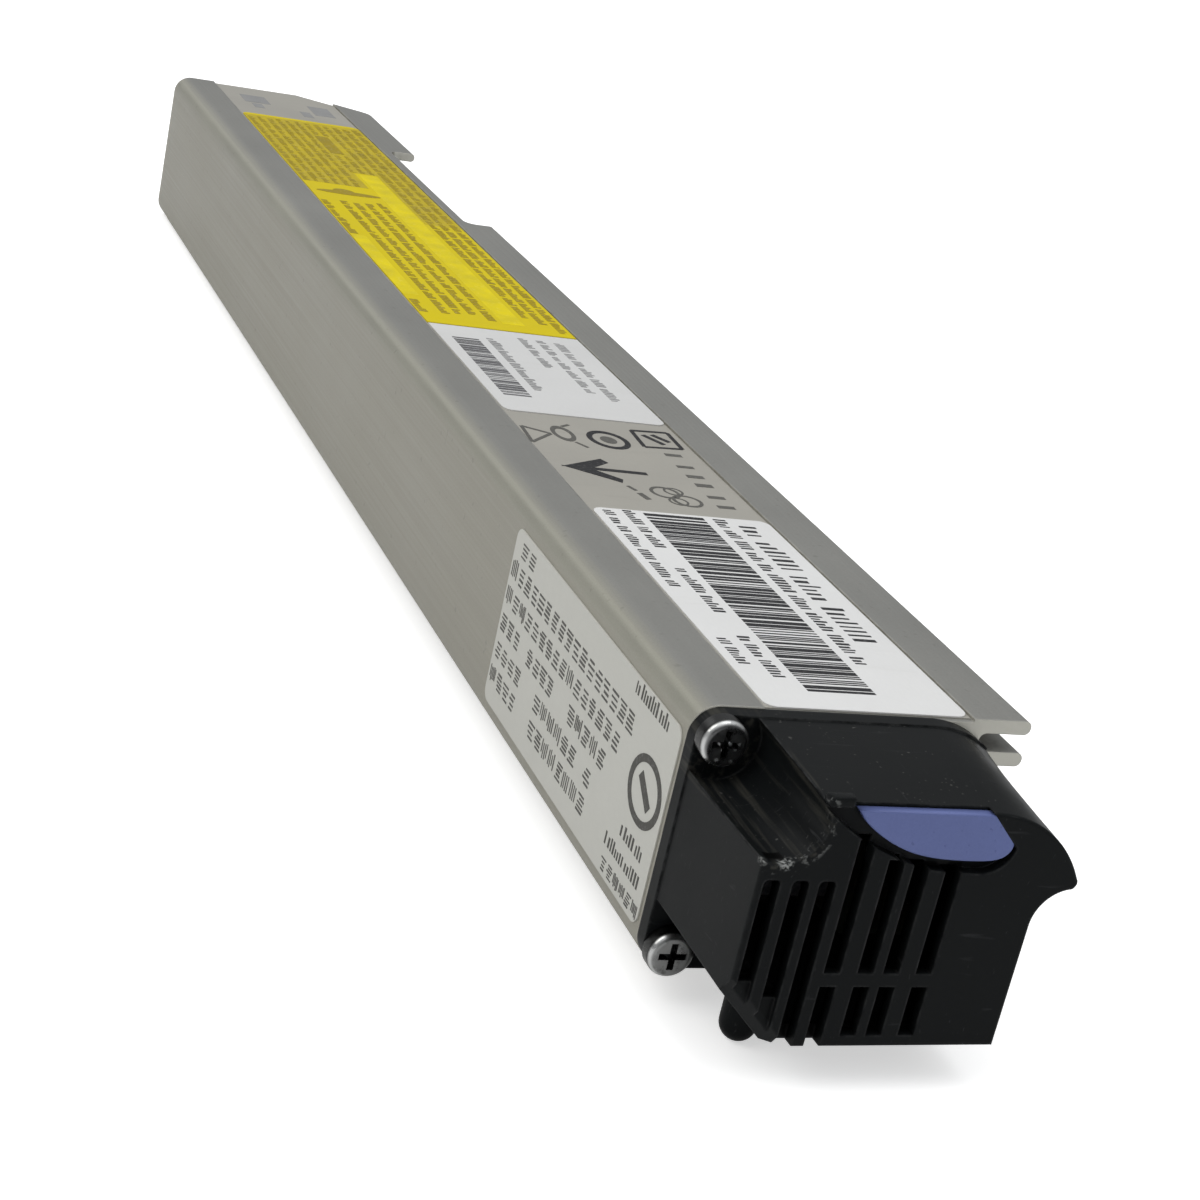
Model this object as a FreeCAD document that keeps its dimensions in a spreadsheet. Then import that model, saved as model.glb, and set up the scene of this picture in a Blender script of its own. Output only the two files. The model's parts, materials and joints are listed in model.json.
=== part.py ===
import FreeCAD, Part
import math
import os
import Sketcher

# A hot-swap battery module for a server: an extruded aluminium tube that holds
# three cells in line and a circuit board, a moulded cap with a grille and a
# finger scoop at the front, and a plug with a recessed connector at the rear.
# Every piece is drawn in the corner frame: X runs right from the left face, Y
# runs back from the front end of the tube and Z runs up from its flat bottom.
# The placement of each piece then moves that frame to the middle of the bottom.

Vector = FreeCAD.Vector

SIZES = {
    # Extruded tube. Its length follows from what it holds.
    "tube_height": 27.6,
    "body_width": 31.6,
    "wall": 1.5,
    "corner_radius": 3.0,
    "base_corner_radius": 1.5,
    "bore_corner_radius": 0.6,
    # Double rail along the right side
    "rail_reach": 5.6,
    "lip_thickness": 1.5,
    "rail_gap": 2.0,
    "lip_tip_radius": 0.7,
    "rail_root_radius": 0.8,
    # Shallow bed along the top that takes the labels
    "bed_left": 7.4,
    "bed_right_inset": 1.1,
    "bed_depth": 0.35,
    # Screw ports in the two left corners
    "port_inset": 2.4,
    "port_radius": 2.2,
    "pilot_radius": 1.25,
    # Notch in the upper lip and cut corner at the rear
    "notch_from_rear": 94.5,
    "notch_length": 51.0,
    "notch_floor_step": 0.6,
    "notch_corner_radius": 2.0,
    "rear_cut_inset": 7.6,
    "rear_cut_bend_inset": 1.8,
    "rear_cut_bend_back": 9.0,
    "rear_cut_depth": 14.0,
    "rear_cut_radius": 6.0,
    # Moulded front cap. A drop is measured down from the top of the tube.
    "cap_depth": 18.0,
    "flange_thickness": 1.8,
    "flange_drop": 0.15,
    "shoulder_inset": 6.3,
    "shoulder_drop": 2.1,
    "shoulder_radius": 10.5,
    "front_wall": 1.5,
    "cap_wall": 1.5,
    "body_step": 0.15,
    "body_base_step": 1.0,
    "face_left": 1.2,
    "face_right_inset": 0.9,
    "face_base": 1.6,
    "face_top_drop": 1.1,
    "face_shoulder_inset": 8.1,
    "face_shoulder_radius": 12.5,
    "nose_overhang": 2.8,
    "nose_top_drop": 7.7,
    "nose_base_drop": 9.0,
    "nose_radius": 0.8,
    "scoop_base_drop": 12.8,
    "scoop_radius": 3.9,
    "back_scoop_base_drop": 7.6,
    "back_scoop_top_drop": 3.4,
    "back_scoop_radius": 60.0,
    "front_edge_radius": 0.3,
    "groove_inset": 2.8,
    "driver_groove_radius": 4.1,
    "driver_relief_radius": 4.3,
    "relief_wall": 2.6,
    "corner_cut": 7.9,
    "corner_facet": 1.6,
    "ear_hole_radius": 1.6,
    # Grille
    "slot_width": 1.7,
    "slot_depth": 1.6,
    "blind_depth": 0.6,
    "blind_1_base": 5.6,
    "blind_2_base": 3.0,
    "slot_1_left": 1.8,
    "slot_2_left": 4.7,
    "slot_3_left": 7.4,
    "slot_4_left": 10.3,
    "slot_5_left": 13.8,
    "slot_6_left": 16.5,
    "slot_7_left": 19.95,
    "slot_1_base": 8.3,
    "slot_2_base": 6.6,
    "left_slots_top_drop": 8.5,
    "slot_5_top_drop": 6.15,
    "slot_6_top_drop": 6.65,
    "slot_7_top_drop": 7.1,
    "slot_end_radius": 0.5,
    "bridge_base": 8.1,
    "bridge_top": 9.5,
    "low_slots_base": 2.8,
    # Touch pad, and the wider pocket that it sits in
    "pad_left": 9.4,
    "pad_low_left_inset": 10.8,
    "pad_low_right_inset": 6.8,
    "pad_right_inset": 5.2,
    "pad_corner_drop": 4.2,
    "pad_base_drop": 6.25,
    "pad_left_radius": 15.5,
    "pad_right_radius": 1.8,
    "pad_flare": 4.5,
    "pad_pocket_depth": 1.2,
    "pad_thickness": 1.15,
    "pad_clearance": 0.1,
    "pad_top_drop": 0.35,
    "opening_left": 6.5,
    "opening_left_drop": 1.5,
    "opening_left_radius": 27.4,
    "opening_low_left_inset": 12.7,
    "opening_low_left_drop": 7.2,
    "opening_low_right_inset": 8.0,
    "opening_base_drop": 7.4,
    "opening_right_inset": 4.8,
    "opening_right_drop": 4.7,
    "opening_right_radius": 3.2,
    "opening_flare": 4.6,
    # Locating peg under the cap and tongues that enter the tube
    "peg_from_left": 8.2,
    "peg_back": 9.0,
    "peg_radius": 1.9,
    "peg_reach": 3.3,
    "tongue_length": 6.0,
    "tongue_thickness": 1.4,
    "tongue_inset": 8.0,
    "side_tongue_inset": 5.0,
    "fit_clearance": 0.15,
    # Pan head screws
    "screw_head_radius": 2.45,
    "screw_head_height": 1.9,
    "screw_head_edge": 0.7,
    "screw_shank_radius": 1.2,
    "screw_length": 8.0,
    "cross_length": 2.9,
    "cross_width": 0.7,
    "cross_depth": 1.2,
    # Labels
    "base_label_thickness": 0.1,
    "top_label_thickness": 0.14,
    "label_margin": 0.2,
    "label_left_margin": 0.45,
    "label_end_margin": 0.6,
    "front_label_end": 52.5,
    "rear_white_start": 86.0,
    "rear_white_end": 122.6,
    "yellow_start": 123.0,
    "yellow_from_rear": 26.0,
    "label_corner_radius": 1.4,
    "side_label_length": 52.5,
    "side_label_inset": 3.1,
    # Cells. Their radius is what the tube leaves for them.
    "cell_length": 65.0,
    "cell_gap": 1.0,
    "cell_edge": 0.5,
    "crimp_back": 3.6,
    "crimp_width": 1.2,
    "crimp_depth": 0.6,
    "button_radius": 3.0,
    "button_height": 0.8,
    "ring_thickness": 0.5,
    "ring_inset": 0.8,
    # Shell that holds the cells
    "shell_start": 10.0,
    "shell_thickness": 1.2,
    "shell_clearance": 0.2,
    "shell_lip": 1.2,
    "shell_lip_reach": 1.7,
    "shell_end_gap": 0.3,
    "foot_height": 1.5,
    "foot_width": 11.0,
    "land_rise": 0.2,
    "window_width": 10.0,
    "window_length": 6.0,
    # Nickel strips
    "strip_thickness": 0.2,
    "strip_width": 6.0,
    "strip_drop": 3.0,
    "strip_inset": 2.8,
    "strip_foot": 4.5,
    # Foam
    "foam_thickness": 1.35,
    "foam_width": 9.0,
    "foam_length": 50.0,
    "end_foam_length": 5.0,
    "end_foam_width": 16.0,
    "end_foam_drop": 9.1,
    "end_foam_height": 12.5,
    # Circuit board and its carrier
    "board_gap": 4.0,
    "board_length": 56.0,
    "board_rear_gap": 2.5,
    "board_left": 5.8,
    "board_right_inset": 2.8,
    "board_base": 7.0,
    "board_thickness": 1.6,
    "carrier_thickness": 1.4,
    "carrier_margin": 0.2,
    "post_radius": 2.1,
    "post_inset": 3.0,
    "board_screw_radius": 1.7,
    "board_screw_head": 1.2,
    "board_screw_length": 5.0,
    "board_shank_radius": 0.85,
    "board_shank_play": 0.05,
    # Components, placed from the left and front edges of the board
    "chip_across": 8.5,
    "chip_along": 24.0,
    "chip_side": 7.0,
    "chip_height": 1.1,
    "chip_edge": 0.25,
    "transistor_across": 1.0,
    "transistor_along": 22.0,
    "transistor_width": 5.0,
    "transistor_length": 6.0,
    "transistor_height": 1.5,
    "transistor_pitch": 8.0,
    "fuse_inset": 16.2,
    "fuse_along": 8.0,
    "fuse_width": 8.6,
    "fuse_length": 4.0,
    "fuse_height": 2.4,
    "resistor_across": 17.0,
    "resistor_along": 14.0,
    "resistor_width": 3.2,
    "resistor_length": 6.4,
    "resistor_height": 0.7,
    "capacitor_across": 17.6,
    "capacitor_along": 24.5,
    "capacitor_width": 1.6,
    "capacitor_length": 2.4,
    "capacitor_height": 1.3,
    "capacitor_pitch": 3.4,
    # Rear plug and connector
    "rear_recess": 8.5,
    "plug_thickness": 2.5,
    "shroud_wall": 1.2,
    "shroud_length": 2.6,
    "boss_left": 4.0,
    "boss_pitch_inset": 16.1,
    "boss_width": 5.0,
    "boss_height": 5.0,
    "boss_length": 4.8,
    "plug_head_radius": 2.1,
    "plug_head_height": 1.2,
    "plug_shank_radius": 1.0,
    "plug_screw_length": 5.6,
    "plug_screw_play": 0.05,
    "plug_cross_length": 2.0,
    "plug_cross_width": 0.5,
    "plug_cross_depth": 0.7,
    "connector_offset": 1.5,
    "connector_width": 17.0,
    "connector_height": 7.0,
    "connector_inside": 12.5,
    "connector_inset": 1.0,
    "contact_pitch": 2.5,
    "contact_bay": 1.7,
    "contact_bay_depth": 6.0,
    "contact_width": 1.1,
    "contact_thickness": 0.5,
    "contact_end_gap": 1.0,
    # Leads
    "power_lead_radius": 0.8,
    "sense_lead_radius": 0.4,
    "lead_margin": 0.2,
    "lead_spacing": 1.5,
    "lead_bend": 3.0,
    "lead_drop": 9.0,
    "lead_landing": 8.0,
    "positive_lead_across": 2.2,
    "sense_lead_start": 1.0,
    "sense_lead_bend": 4.5,
    "sense_lead_turn": 12.0,
}

# Places that follow from the driving sizes
PLACES = {
    "rail_tip": "body_width + rail_reach",
    "upper_lip_base": "tube_height - lip_thickness",
    "lower_lip_top": "upper_lip_base - rail_gap",
    "lower_lip_base": "lower_lip_top - lip_thickness",
    "bed_right": "body_width - bed_right_inset",
    "bed_floor": "tube_height - bed_depth",
    "bore_right": "body_width - wall",
    "bore_top": "bed_floor - wall",
    "port_high": "tube_height - port_inset",
    "groove_high": "tube_height - groove_inset",
    "flange_top": "tube_height - flange_drop",
    "shell_radius": "(bore_top - wall - foot_height - land_rise - foam_thickness) / 2",
    "shell_bore": "shell_radius - shell_thickness",
    "cell_radius": "shell_bore - shell_clearance",
    "cell_centre": "body_width / 2",
    "cell_height": "wall + foot_height + shell_radius",
    "cells_start": "shell_start + shell_lip + shell_end_gap",
    "cell_step": "cell_length + cell_gap",
    "cells_end": "cells_start + cell_step * 2 + cell_length",
    "shell_end": "cells_end + shell_end_gap + shell_lip",
    "shell_opening": "cell_radius - shell_lip_reach",
    "land_top": "cell_height + shell_radius + land_rise",
    "strip_top": "cell_height + cell_radius - strip_inset",
    "board_start": "shell_end + board_gap",
    "board_end": "board_start + board_length",
    "board_right": "body_width - board_right_inset",
    "board_top": "board_base + board_thickness",
    "plug_front": "board_end + board_rear_gap",
    "plug_back": "plug_front + plug_thickness",
    "tube_length": "plug_front + rear_recess",
    "plug_screw_across": "boss_left + boss_width / 2",
    "plug_screw_along": "plug_back + boss_length / 2",
    "boss_pitch": "body_width - boss_pitch_inset",
    "connector_left": "cell_centre + connector_offset - connector_width / 2",
    "connector_right": "connector_left + connector_width",
    "connector_top": "board_top + connector_height",
    "connector_start": "plug_front - connector_inside",
    "connector_end": "tube_length - connector_inset",
    "notch_start": "tube_length - notch_from_rear",
    "notch_floor": "body_width + notch_floor_step",
    "rear_cut_start": "body_width - rear_cut_inset",
    "rear_cut_bend": "rail_tip - rear_cut_bend_inset",
    "base_label_top": "bed_floor + base_label_thickness",
    "label_left": "bed_left + label_left_margin",
    "label_right": "bed_right - label_margin",
    "yellow_end": "tube_length - yellow_from_rear",
    "shoulder_start": "body_width - shoulder_inset",
    "face_right": "body_width - face_right_inset",
    "face_top": "tube_height - face_top_drop",
    "face_shoulder_start": "body_width - face_shoulder_inset",
    "nose_reach": "body_width + nose_overhang",
    "nose_top": "tube_height - nose_top_drop",
    "nose_base": "tube_height - nose_base_drop",
    "scoop_base": "tube_height - scoop_base_drop",
    "back_scoop_base": "tube_height - back_scoop_base_drop",
    "back_scoop_top": "tube_height - back_scoop_top_drop",
    "left_slots_top": "tube_height - left_slots_top_drop",
    "slot_5_top": "tube_height - slot_5_top_drop",
    "slot_6_top": "tube_height - slot_6_top_drop",
    "slot_7_top": "tube_height - slot_7_top_drop",
    "pad_low_left": "body_width - pad_low_left_inset",
    "pad_low_right": "body_width - pad_low_right_inset",
    "pad_right": "body_width - pad_right_inset",
    "pad_corner_height": "tube_height - pad_corner_drop",
    "pad_base": "tube_height - pad_base_drop",
    "opening_right": "body_width - opening_right_inset",
}

CELL_COUNT = 3
CONTACT_COUNT = 6
CAPACITOR_COUNT = 4

document = FreeCAD.newDocument("BatteryModule")
sheet = document.addObject("Spreadsheet::Sheet", "Dimensions")
contents = {alias: str(number) for alias, number in SIZES.items()}
contents.update((alias, "=" + formula) for alias, formula in PLACES.items())
for row, (alias, content) in enumerate(contents.items(), start=1):
    sheet.set(f"A{row}", alias.replace("_", " "))
    sheet.set(f"B{row}", content)
    sheet.setAlias(f"B{row}", alias)
document.recompute()


class Linked:
    """A length that knows its number and the sheet expression behind it."""

    def __init__(self, number, text):
        self.number = float(number)
        self.text = text

    def __add__(self, other):
        other = linked(other)
        return Linked(self.number + other.number, f"({self.text} + {other.text})")

    def __sub__(self, other):
        other = linked(other)
        return Linked(self.number - other.number, f"({self.text} - {other.text})")

    def __mul__(self, other):
        other = linked(other)
        return Linked(self.number * other.number, f"({self.text} * {other.text})")

    def __truediv__(self, other):
        other = linked(other)
        return Linked(self.number / other.number, f"({self.text} / {other.text})")

    def __neg__(self):
        return Linked(-self.number, f"(-{self.text})")


def linked(length):
    return length if isinstance(length, Linked) else Linked(length, str(length))


class Sizes:
    """The cells of the sheet, by alias."""


size = Sizes()
for alias in contents:
    setattr(size, alias, Linked(sheet.get(alias), f"Dimensions.{alias}"))

pieces = []


def bind(item, prop, length):
    """Set a property to a length and keep it tied to the sheet."""
    length = linked(length)
    if "." not in prop:
        setattr(item, prop, length.number)
    item.setExpression(prop, length.text)


def place(item, label):
    """Name a finished piece and move its corner frame to the shared frame."""
    item.Label = label
    item.setExpression("Placement.Base.x", (-size.body_width / 2).text)
    item.setExpression("Placement.Base.y", (-size.tube_length / 2).text)
    pieces.append(item)
    document.recompute()


def new_body(label):
    body = document.addObject("PartDesign::Body", label)
    place(body, label)
    return body


def origin_plane(body, role):
    return next(item for item in body.Origin.OriginFeatures if item.Role == role)


def new_sketch(body, plane, offset=0.0):
    """A sketch on an origin plane, moved along that plane's normal."""
    drawing = body.newObject("Sketcher::SketchObject", "Sketch")
    drawing.AttachmentSupport = [(origin_plane(body, plane), "")]
    drawing.MapMode = "FlatFace"
    bind(drawing, "AttachmentOffset.Base.z", offset)
    return drawing


def fix_point(drawing, edge, end, across, up):
    """Hold one end of an edge at a place measured from the sketch origin."""
    for kind, length in (("DistanceX", across), ("DistanceY", up)):
        length = linked(length)
        held = Sketcher.Constraint(kind, -1, 1, edge, end, length.number)
        index = drawing.addConstraint(held)
        drawing.setExpression(f"Constraints[{index}]", length.text)


def fix_radius(drawing, edge, radius):
    radius = linked(radius)
    index = drawing.addConstraint(Sketcher.Constraint("Radius", edge, radius.number))
    drawing.setExpression(f"Constraints[{index}]", radius.text)


def arc_between(start, end, radius, turn):
    """A circular arc that turns left (1) or right (-1) from start to end."""
    chord = end - start
    half = chord.Length / 2
    rise = math.sqrt(max(radius * radius - half * half, 0.0))
    side = Vector(-chord.y, chord.x, 0).normalize() * turn
    centre = start + chord / 2 + side * rise
    first, last = (start, end) if turn > 0 else (end, start)
    begin = math.atan2(first.y - centre.y, first.x - centre.x)
    finish = math.atan2(last.y - centre.y, last.x - centre.x)
    if finish < begin:
        finish += 2 * math.pi
    circle = Part.Circle(centre, Vector(0, 0, 1), radius)
    return Part.ArcOfCircle(circle, begin, finish)


def outline(drawing, corners):
    """Draw a closed outline. A corner is (across, up), or (across, up, radius,
    turn) where the edge that leaves it is an arc."""
    places = [Vector(linked(c[0]).number, linked(c[1]).number, 0) for c in corners]
    edges = []
    for index, corner in enumerate(corners):
        start = places[index]
        end = places[(index + 1) % len(places)]
        if len(corner) == 2:
            shape = Part.LineSegment(start, end)
            ends = (1, 2)
        else:
            shape = arc_between(start, end, linked(corner[2]).number, corner[3])
            ends = (1, 2) if corner[3] > 0 else (2, 1)
        edges.append((drawing.addGeometry(shape, False), ends))
    for index, (edge, ends) in enumerate(edges):
        following, following_ends = edges[(index + 1) % len(edges)]
        meet = Sketcher.Constraint("Coincident", edge, ends[1], following, following_ends[0])
        drawing.addConstraint(meet)
        fix_point(drawing, edge, ends[0], corners[index][0], corners[index][1])
        if len(corners[index]) == 4:
            fix_radius(drawing, edge, corners[index][2])


def rectangle(drawing, left, base, right, top):
    outline(drawing, [(left, base), (right, base), (right, top), (left, top)])


def circle(drawing, across, up, radius):
    centre = Vector(linked(across).number, linked(up).number, 0)
    shape = Part.Circle(centre, Vector(0, 0, 1), linked(radius).number)
    edge = drawing.addGeometry(shape, False)
    fix_point(drawing, edge, 3, across, up)
    fix_radius(drawing, edge, radius)


def add_pad(body, drawing, length, backwards=False):
    pad = body.newObject("PartDesign::Pad", "Pad")
    pad.Profile = drawing
    pad.Reversed = backwards
    bind(pad, "Length", length)
    drawing.Visibility = False
    document.recompute()
    return pad


def add_pocket(body, drawing, depth, backwards=False):
    """Cut a pocket, and stop if it points away from the solid."""
    before = body.Shape.Volume
    pocket = body.newObject("PartDesign::Pocket", "Pocket")
    pocket.Profile = drawing
    pocket.Reversed = backwards
    bind(pocket, "Length", depth)
    document.recompute()
    if not body.Shape.Volume < before - 1e-4:
        raise ValueError(f"a pocket in {body.Label} cuts nothing")
    return pocket


def add_revolution(body, drawing, axis):
    turned = body.newObject("PartDesign::Revolution", "Revolution")
    turned.Profile = drawing
    turned.ReferenceAxis = (drawing, [axis])
    turned.Angle = 360.0
    document.recompute()
    return turned


def row_of(body, features, drawing, axis, length, count):
    """Repeat features in a row and make the row the tip of the body."""
    pattern = body.newObject("PartDesign::LinearPattern", "LinearPattern")
    pattern.Originals = features
    pattern.Direction = (drawing, [axis])
    bind(pattern, "Length", length)
    pattern.Occurrences = count
    body.Tip = pattern
    document.recompute()
    return pattern


def edge_names(shape, wanted):
    return [f"Edge{i}" for i, edge in enumerate(shape.Edges, start=1) if wanted(edge)]


def near(one, other):
    return abs(one - linked(other).number) < 1e-4


def edge_along(edge, axis, **places):
    """True for a straight edge along an axis whose other coordinates match."""
    box = edge.BoundBox
    reach = {"x": box.XLength, "y": box.YLength, "z": box.ZLength}
    if any(length > 1e-4 for name, length in reach.items() if name != axis):
        return False
    middle = {"x": box.Center.x, "y": box.Center.y, "z": box.Center.z}
    return reach[axis] > 1e-4 and all(near(middle[name], at) for name, at in places.items())


def add_fillet(body, radius, wanted):
    base = body.Tip
    fillet = body.newObject("PartDesign::Fillet", "Fillet")
    fillet.Base = (base, edge_names(base.Shape, wanted))
    bind(fillet, "Radius", radius)
    document.recompute()
    return fillet


def add_chamfer(body, length, wanted):
    base = body.Tip
    chamfer = body.newObject("PartDesign::Chamfer", "Chamfer")
    chamfer.Base = (base, edge_names(base.Shape, wanted))
    bind(chamfer, "Size", length)
    document.recompute()
    return chamfer


# The extruded tube

def build_housing():
    """Tube with a double rail, a label bed, two screw ports and a notch."""
    body = new_body("housing")
    profile = new_sketch(body, "XZ_Plane")
    outline(profile, [
        (0.0, 0.0),
        (size.body_width, 0.0),
        (size.body_width, size.lower_lip_base),
        (size.rail_tip, size.lower_lip_base),
        (size.rail_tip, size.lower_lip_top),
        (size.body_width, size.lower_lip_top),
        (size.body_width, size.upper_lip_base),
        (size.rail_tip, size.upper_lip_base),
        (size.rail_tip, size.tube_height),
        (size.bed_right, size.tube_height),
        (size.bed_right, size.bed_floor),
        (size.bed_left, size.bed_floor),
        (size.bed_left, size.tube_height),
        (0.0, size.tube_height),
    ])
    add_pad(body, profile, size.tube_length, backwards=True)
    add_fillet(body, size.corner_radius, lambda edge: (
        edge_along(edge, "y", x=0.0, z=0.0) or edge_along(edge, "y", x=0.0, z=size.tube_height)))
    add_fillet(body, size.base_corner_radius, lambda edge: (
        edge_along(edge, "y", x=size.body_width, z=0.0)))
    add_fillet(body, size.lip_tip_radius, lambda edge: edge_along(edge, "y", x=size.rail_tip))
    add_fillet(body, size.rail_root_radius, lambda edge: any(
        edge_along(edge, "y", x=size.body_width, z=height)
        for height in (size.lower_lip_base, size.lower_lip_top, size.upper_lip_base)))

    bore = new_sketch(body, "XZ_Plane")
    rectangle(bore, size.wall, size.wall, size.bore_right, size.bore_top)
    add_pocket(body, bore, size.tube_length)
    add_fillet(body, size.bore_corner_radius, lambda edge: (
        edge_along(edge, "y", x=size.bore_right, z=size.wall)
        or edge_along(edge, "y", x=size.bore_right, z=size.bore_top)))

    ports = new_sketch(body, "XZ_Plane")
    for height in (size.port_inset, size.port_high):
        circle(ports, size.port_inset, height, size.port_radius)
    add_pad(body, ports, size.plug_front, backwards=True)
    pilots = new_sketch(body, "XZ_Plane")
    for height in (size.port_inset, size.port_high):
        circle(pilots, size.port_inset, height, size.pilot_radius)
    add_pocket(body, pilots, size.plug_front)

    notch = new_sketch(body, "XY_Plane", (size.lower_lip_top + size.upper_lip_base) / 2)
    rectangle(notch, size.notch_floor, size.notch_start,
              size.rail_tip + size.rail_reach, size.notch_start + size.notch_length)
    add_pocket(body, notch, size.tube_height, backwards=True)
    add_fillet(body, size.notch_corner_radius, lambda edge: (
        edge_along(edge, "z", x=size.notch_floor, y=size.notch_start)
        or edge_along(edge, "z", x=size.notch_floor, y=size.notch_start + size.notch_length)))

    corner = new_sketch(body, "XY_Plane")
    cut_end = size.tube_length - size.rear_cut_depth
    outside = size.rail_tip + size.rail_reach
    outline(corner, [
        (size.rear_cut_start, size.tube_length),
        (size.rear_cut_bend, size.tube_length - size.rear_cut_bend_back,
         size.rear_cut_radius, -1),
        (size.rail_tip, cut_end),
        (outside, cut_end),
        (outside, size.tube_length),
    ])
    add_pocket(body, corner, size.tube_height, backwards=True)
    cut_plug_screw_holes(body)


# The moulded front cap

def body_section(drawing, left, base, right, top, shoulder_start, shoulder_radius,
                 nose, scoop):
    """One section of the cap: a box whose top right corner is a round shoulder
    that ends in a nose with a finger scoop under it."""
    nose_reach, nose_top, nose_base = nose
    scoop_base, scoop_radius = scoop
    outline(drawing, [
        (left, base),
        (right, base),
        (right, scoop_base, scoop_radius, -1),
        (nose_reach - size.nose_radius / 4, nose_base, size.nose_radius, 1),
        (nose_reach, nose_top, shoulder_radius, 1),
        (shoulder_start, top),
        (left, top),
    ])


def touch_outline(drawing, inset, top):
    """The round-bottomed field of the touch pad, drawn smaller by an inset."""
    outline(drawing, [
        (size.pad_left + inset, top),
        (size.pad_left + inset, size.face_top, size.pad_left_radius - inset, 1),
        (size.pad_low_left, size.pad_base + inset),
        (size.pad_low_right, size.pad_base + inset, size.pad_right_radius, 1),
        (size.pad_right - inset, size.pad_corner_height),
        (size.pad_right - size.pad_flare - inset, top),
    ])


def pad_opening(drawing):
    """The opening round the touch pad, which leaves a gap beside and below it."""
    outline(drawing, [
        (size.opening_left, size.tube_height),
        (size.opening_left, size.tube_height - size.opening_left_drop,
         size.opening_left_radius, 1),
        (size.body_width - size.opening_low_left_inset,
         size.tube_height - size.opening_low_left_drop),
        (size.body_width - size.opening_low_right_inset,
         size.tube_height - size.opening_base_drop, size.opening_right_radius, 1),
        (size.opening_right, size.tube_height - size.opening_right_drop),
        (size.opening_right - size.opening_flare, size.tube_height),
    ])


def build_front_cap():
    """Flange, lofted body, two driver grooves, grille, touch pocket and peg."""
    body = new_body("front_cap")
    flange = new_sketch(body, "XZ_Plane")
    outline(flange, [
        (0.0, 0.0),
        (size.body_width, 0.0),
        (size.body_width, size.flange_top - size.shoulder_drop, size.shoulder_radius, 1),
        (size.shoulder_start, size.flange_top),
        (0.0, size.flange_top),
    ])
    add_pad(body, flange, size.flange_thickness)
    add_fillet(body, size.corner_radius, lambda edge: (
        edge_along(edge, "y", x=0.0, z=0.0) or edge_along(edge, "y", x=0.0, z=size.flange_top)))
    add_fillet(body, size.base_corner_radius, lambda edge: (
        edge_along(edge, "y", x=size.body_width, z=0.0)))

    back = new_sketch(body, "XZ_Plane", size.flange_thickness)
    right = size.body_width - size.body_step
    body_section(back, size.body_step, size.body_base_step, right - size.body_step,
                 size.flange_top - size.body_step, size.shoulder_start, size.shoulder_radius,
                 (right, size.flange_top - size.shoulder_drop - size.body_step,
                  size.back_scoop_top),
                 (size.back_scoop_base, size.back_scoop_radius))
    face = new_sketch(body, "XZ_Plane", size.cap_depth)
    body_section(face, size.face_left, size.face_base, size.face_right, size.face_top,
                 size.face_shoulder_start, size.face_shoulder_radius,
                 (size.nose_reach, size.nose_top, size.nose_base),
                 (size.scoop_base, size.scoop_radius))
    loft = body.newObject("PartDesign::AdditiveLoft", "AdditiveLoft")
    loft.Profile = back
    loft.Sections = [face]
    loft.Ruled = True
    document.recompute()
    corner = new_sketch(body, "XZ_Plane", size.flange_thickness)
    outline(corner, [(0.0, 0.0), (size.corner_cut, 0.0), (0.0, size.corner_cut)])
    add_pocket(body, corner, size.cap_depth, backwards=True)
    add_chamfer(body, size.corner_facet, on_corner_cut)
    add_fillet(body, size.front_edge_radius, on_front_edge)

    cavity = new_sketch(body, "XZ_Plane")
    left = size.face_left + size.cap_wall
    base = size.face_base + size.cap_wall
    top = size.face_top - size.cap_wall
    groove = size.driver_groove_radius + size.cap_wall
    relief = size.driver_relief_radius + size.cap_wall
    outline(cavity, [
        (left, size.groove_inset + relief),
        (size.groove_inset, size.groove_inset + relief, relief, -1),
        (size.groove_inset + relief, size.groove_inset),
        (size.groove_inset + relief, base),
        (size.face_right - size.cap_wall, base),
        (size.face_right - size.cap_wall, top - size.shoulder_drop),
        (size.face_shoulder_start, top),
        (size.groove_inset + groove, top),
        (size.groove_inset + groove, size.groove_high, groove, -1),
        (size.groove_inset, size.groove_high - groove),
        (left, size.groove_high - groove),
    ])
    add_pocket(body, cavity, size.cap_depth - size.front_wall, backwards=True)

    groove_cut = new_sketch(body, "XZ_Plane", size.flange_thickness)
    circle(groove_cut, size.groove_inset, size.groove_high, size.driver_groove_radius)
    add_pocket(body, groove_cut, size.cap_depth, backwards=True)
    relief_cut = new_sketch(body, "XZ_Plane", size.flange_thickness)
    circle(relief_cut, size.groove_inset, size.groove_inset, size.driver_relief_radius)
    relief_depth = size.cap_depth - size.flange_thickness - size.relief_wall
    add_pocket(body, relief_cut, relief_depth, backwards=True)

    cut_grille(body)
    pocket = new_sketch(body, "XZ_Plane", size.cap_depth)
    pad_opening(pocket)
    add_pocket(body, pocket, size.pad_pocket_depth)
    ears = new_sketch(body, "XZ_Plane")
    for height in (size.port_inset, size.port_high):
        circle(ears, size.port_inset, height, size.ear_hole_radius)
    add_pocket(body, ears, size.flange_thickness, backwards=True)
    add_peg(body)
    add_tongues(body)


def on_front_edge(edge):
    """True for an edge round the front face, other than the slanted corner."""
    box = edge.BoundBox
    middle = edge.valueAt((edge.FirstParameter + edge.LastParameter) / 2)
    flat = near(box.YMin, -size.cap_depth) and near(box.YMax, -size.cap_depth)
    return flat and not near(middle.x + middle.z, size.corner_cut + size.corner_facet * 1.41421)


def on_corner_cut(edge):
    """True for the front edge of the slanted cut at the lower left corner."""
    box = edge.BoundBox
    middle = edge.valueAt((edge.FirstParameter + edge.LastParameter) / 2)
    flat = near(box.YMin, -size.cap_depth) and near(box.YMax, -size.cap_depth)
    return flat and near(middle.x + middle.z, size.corner_cut)


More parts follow.
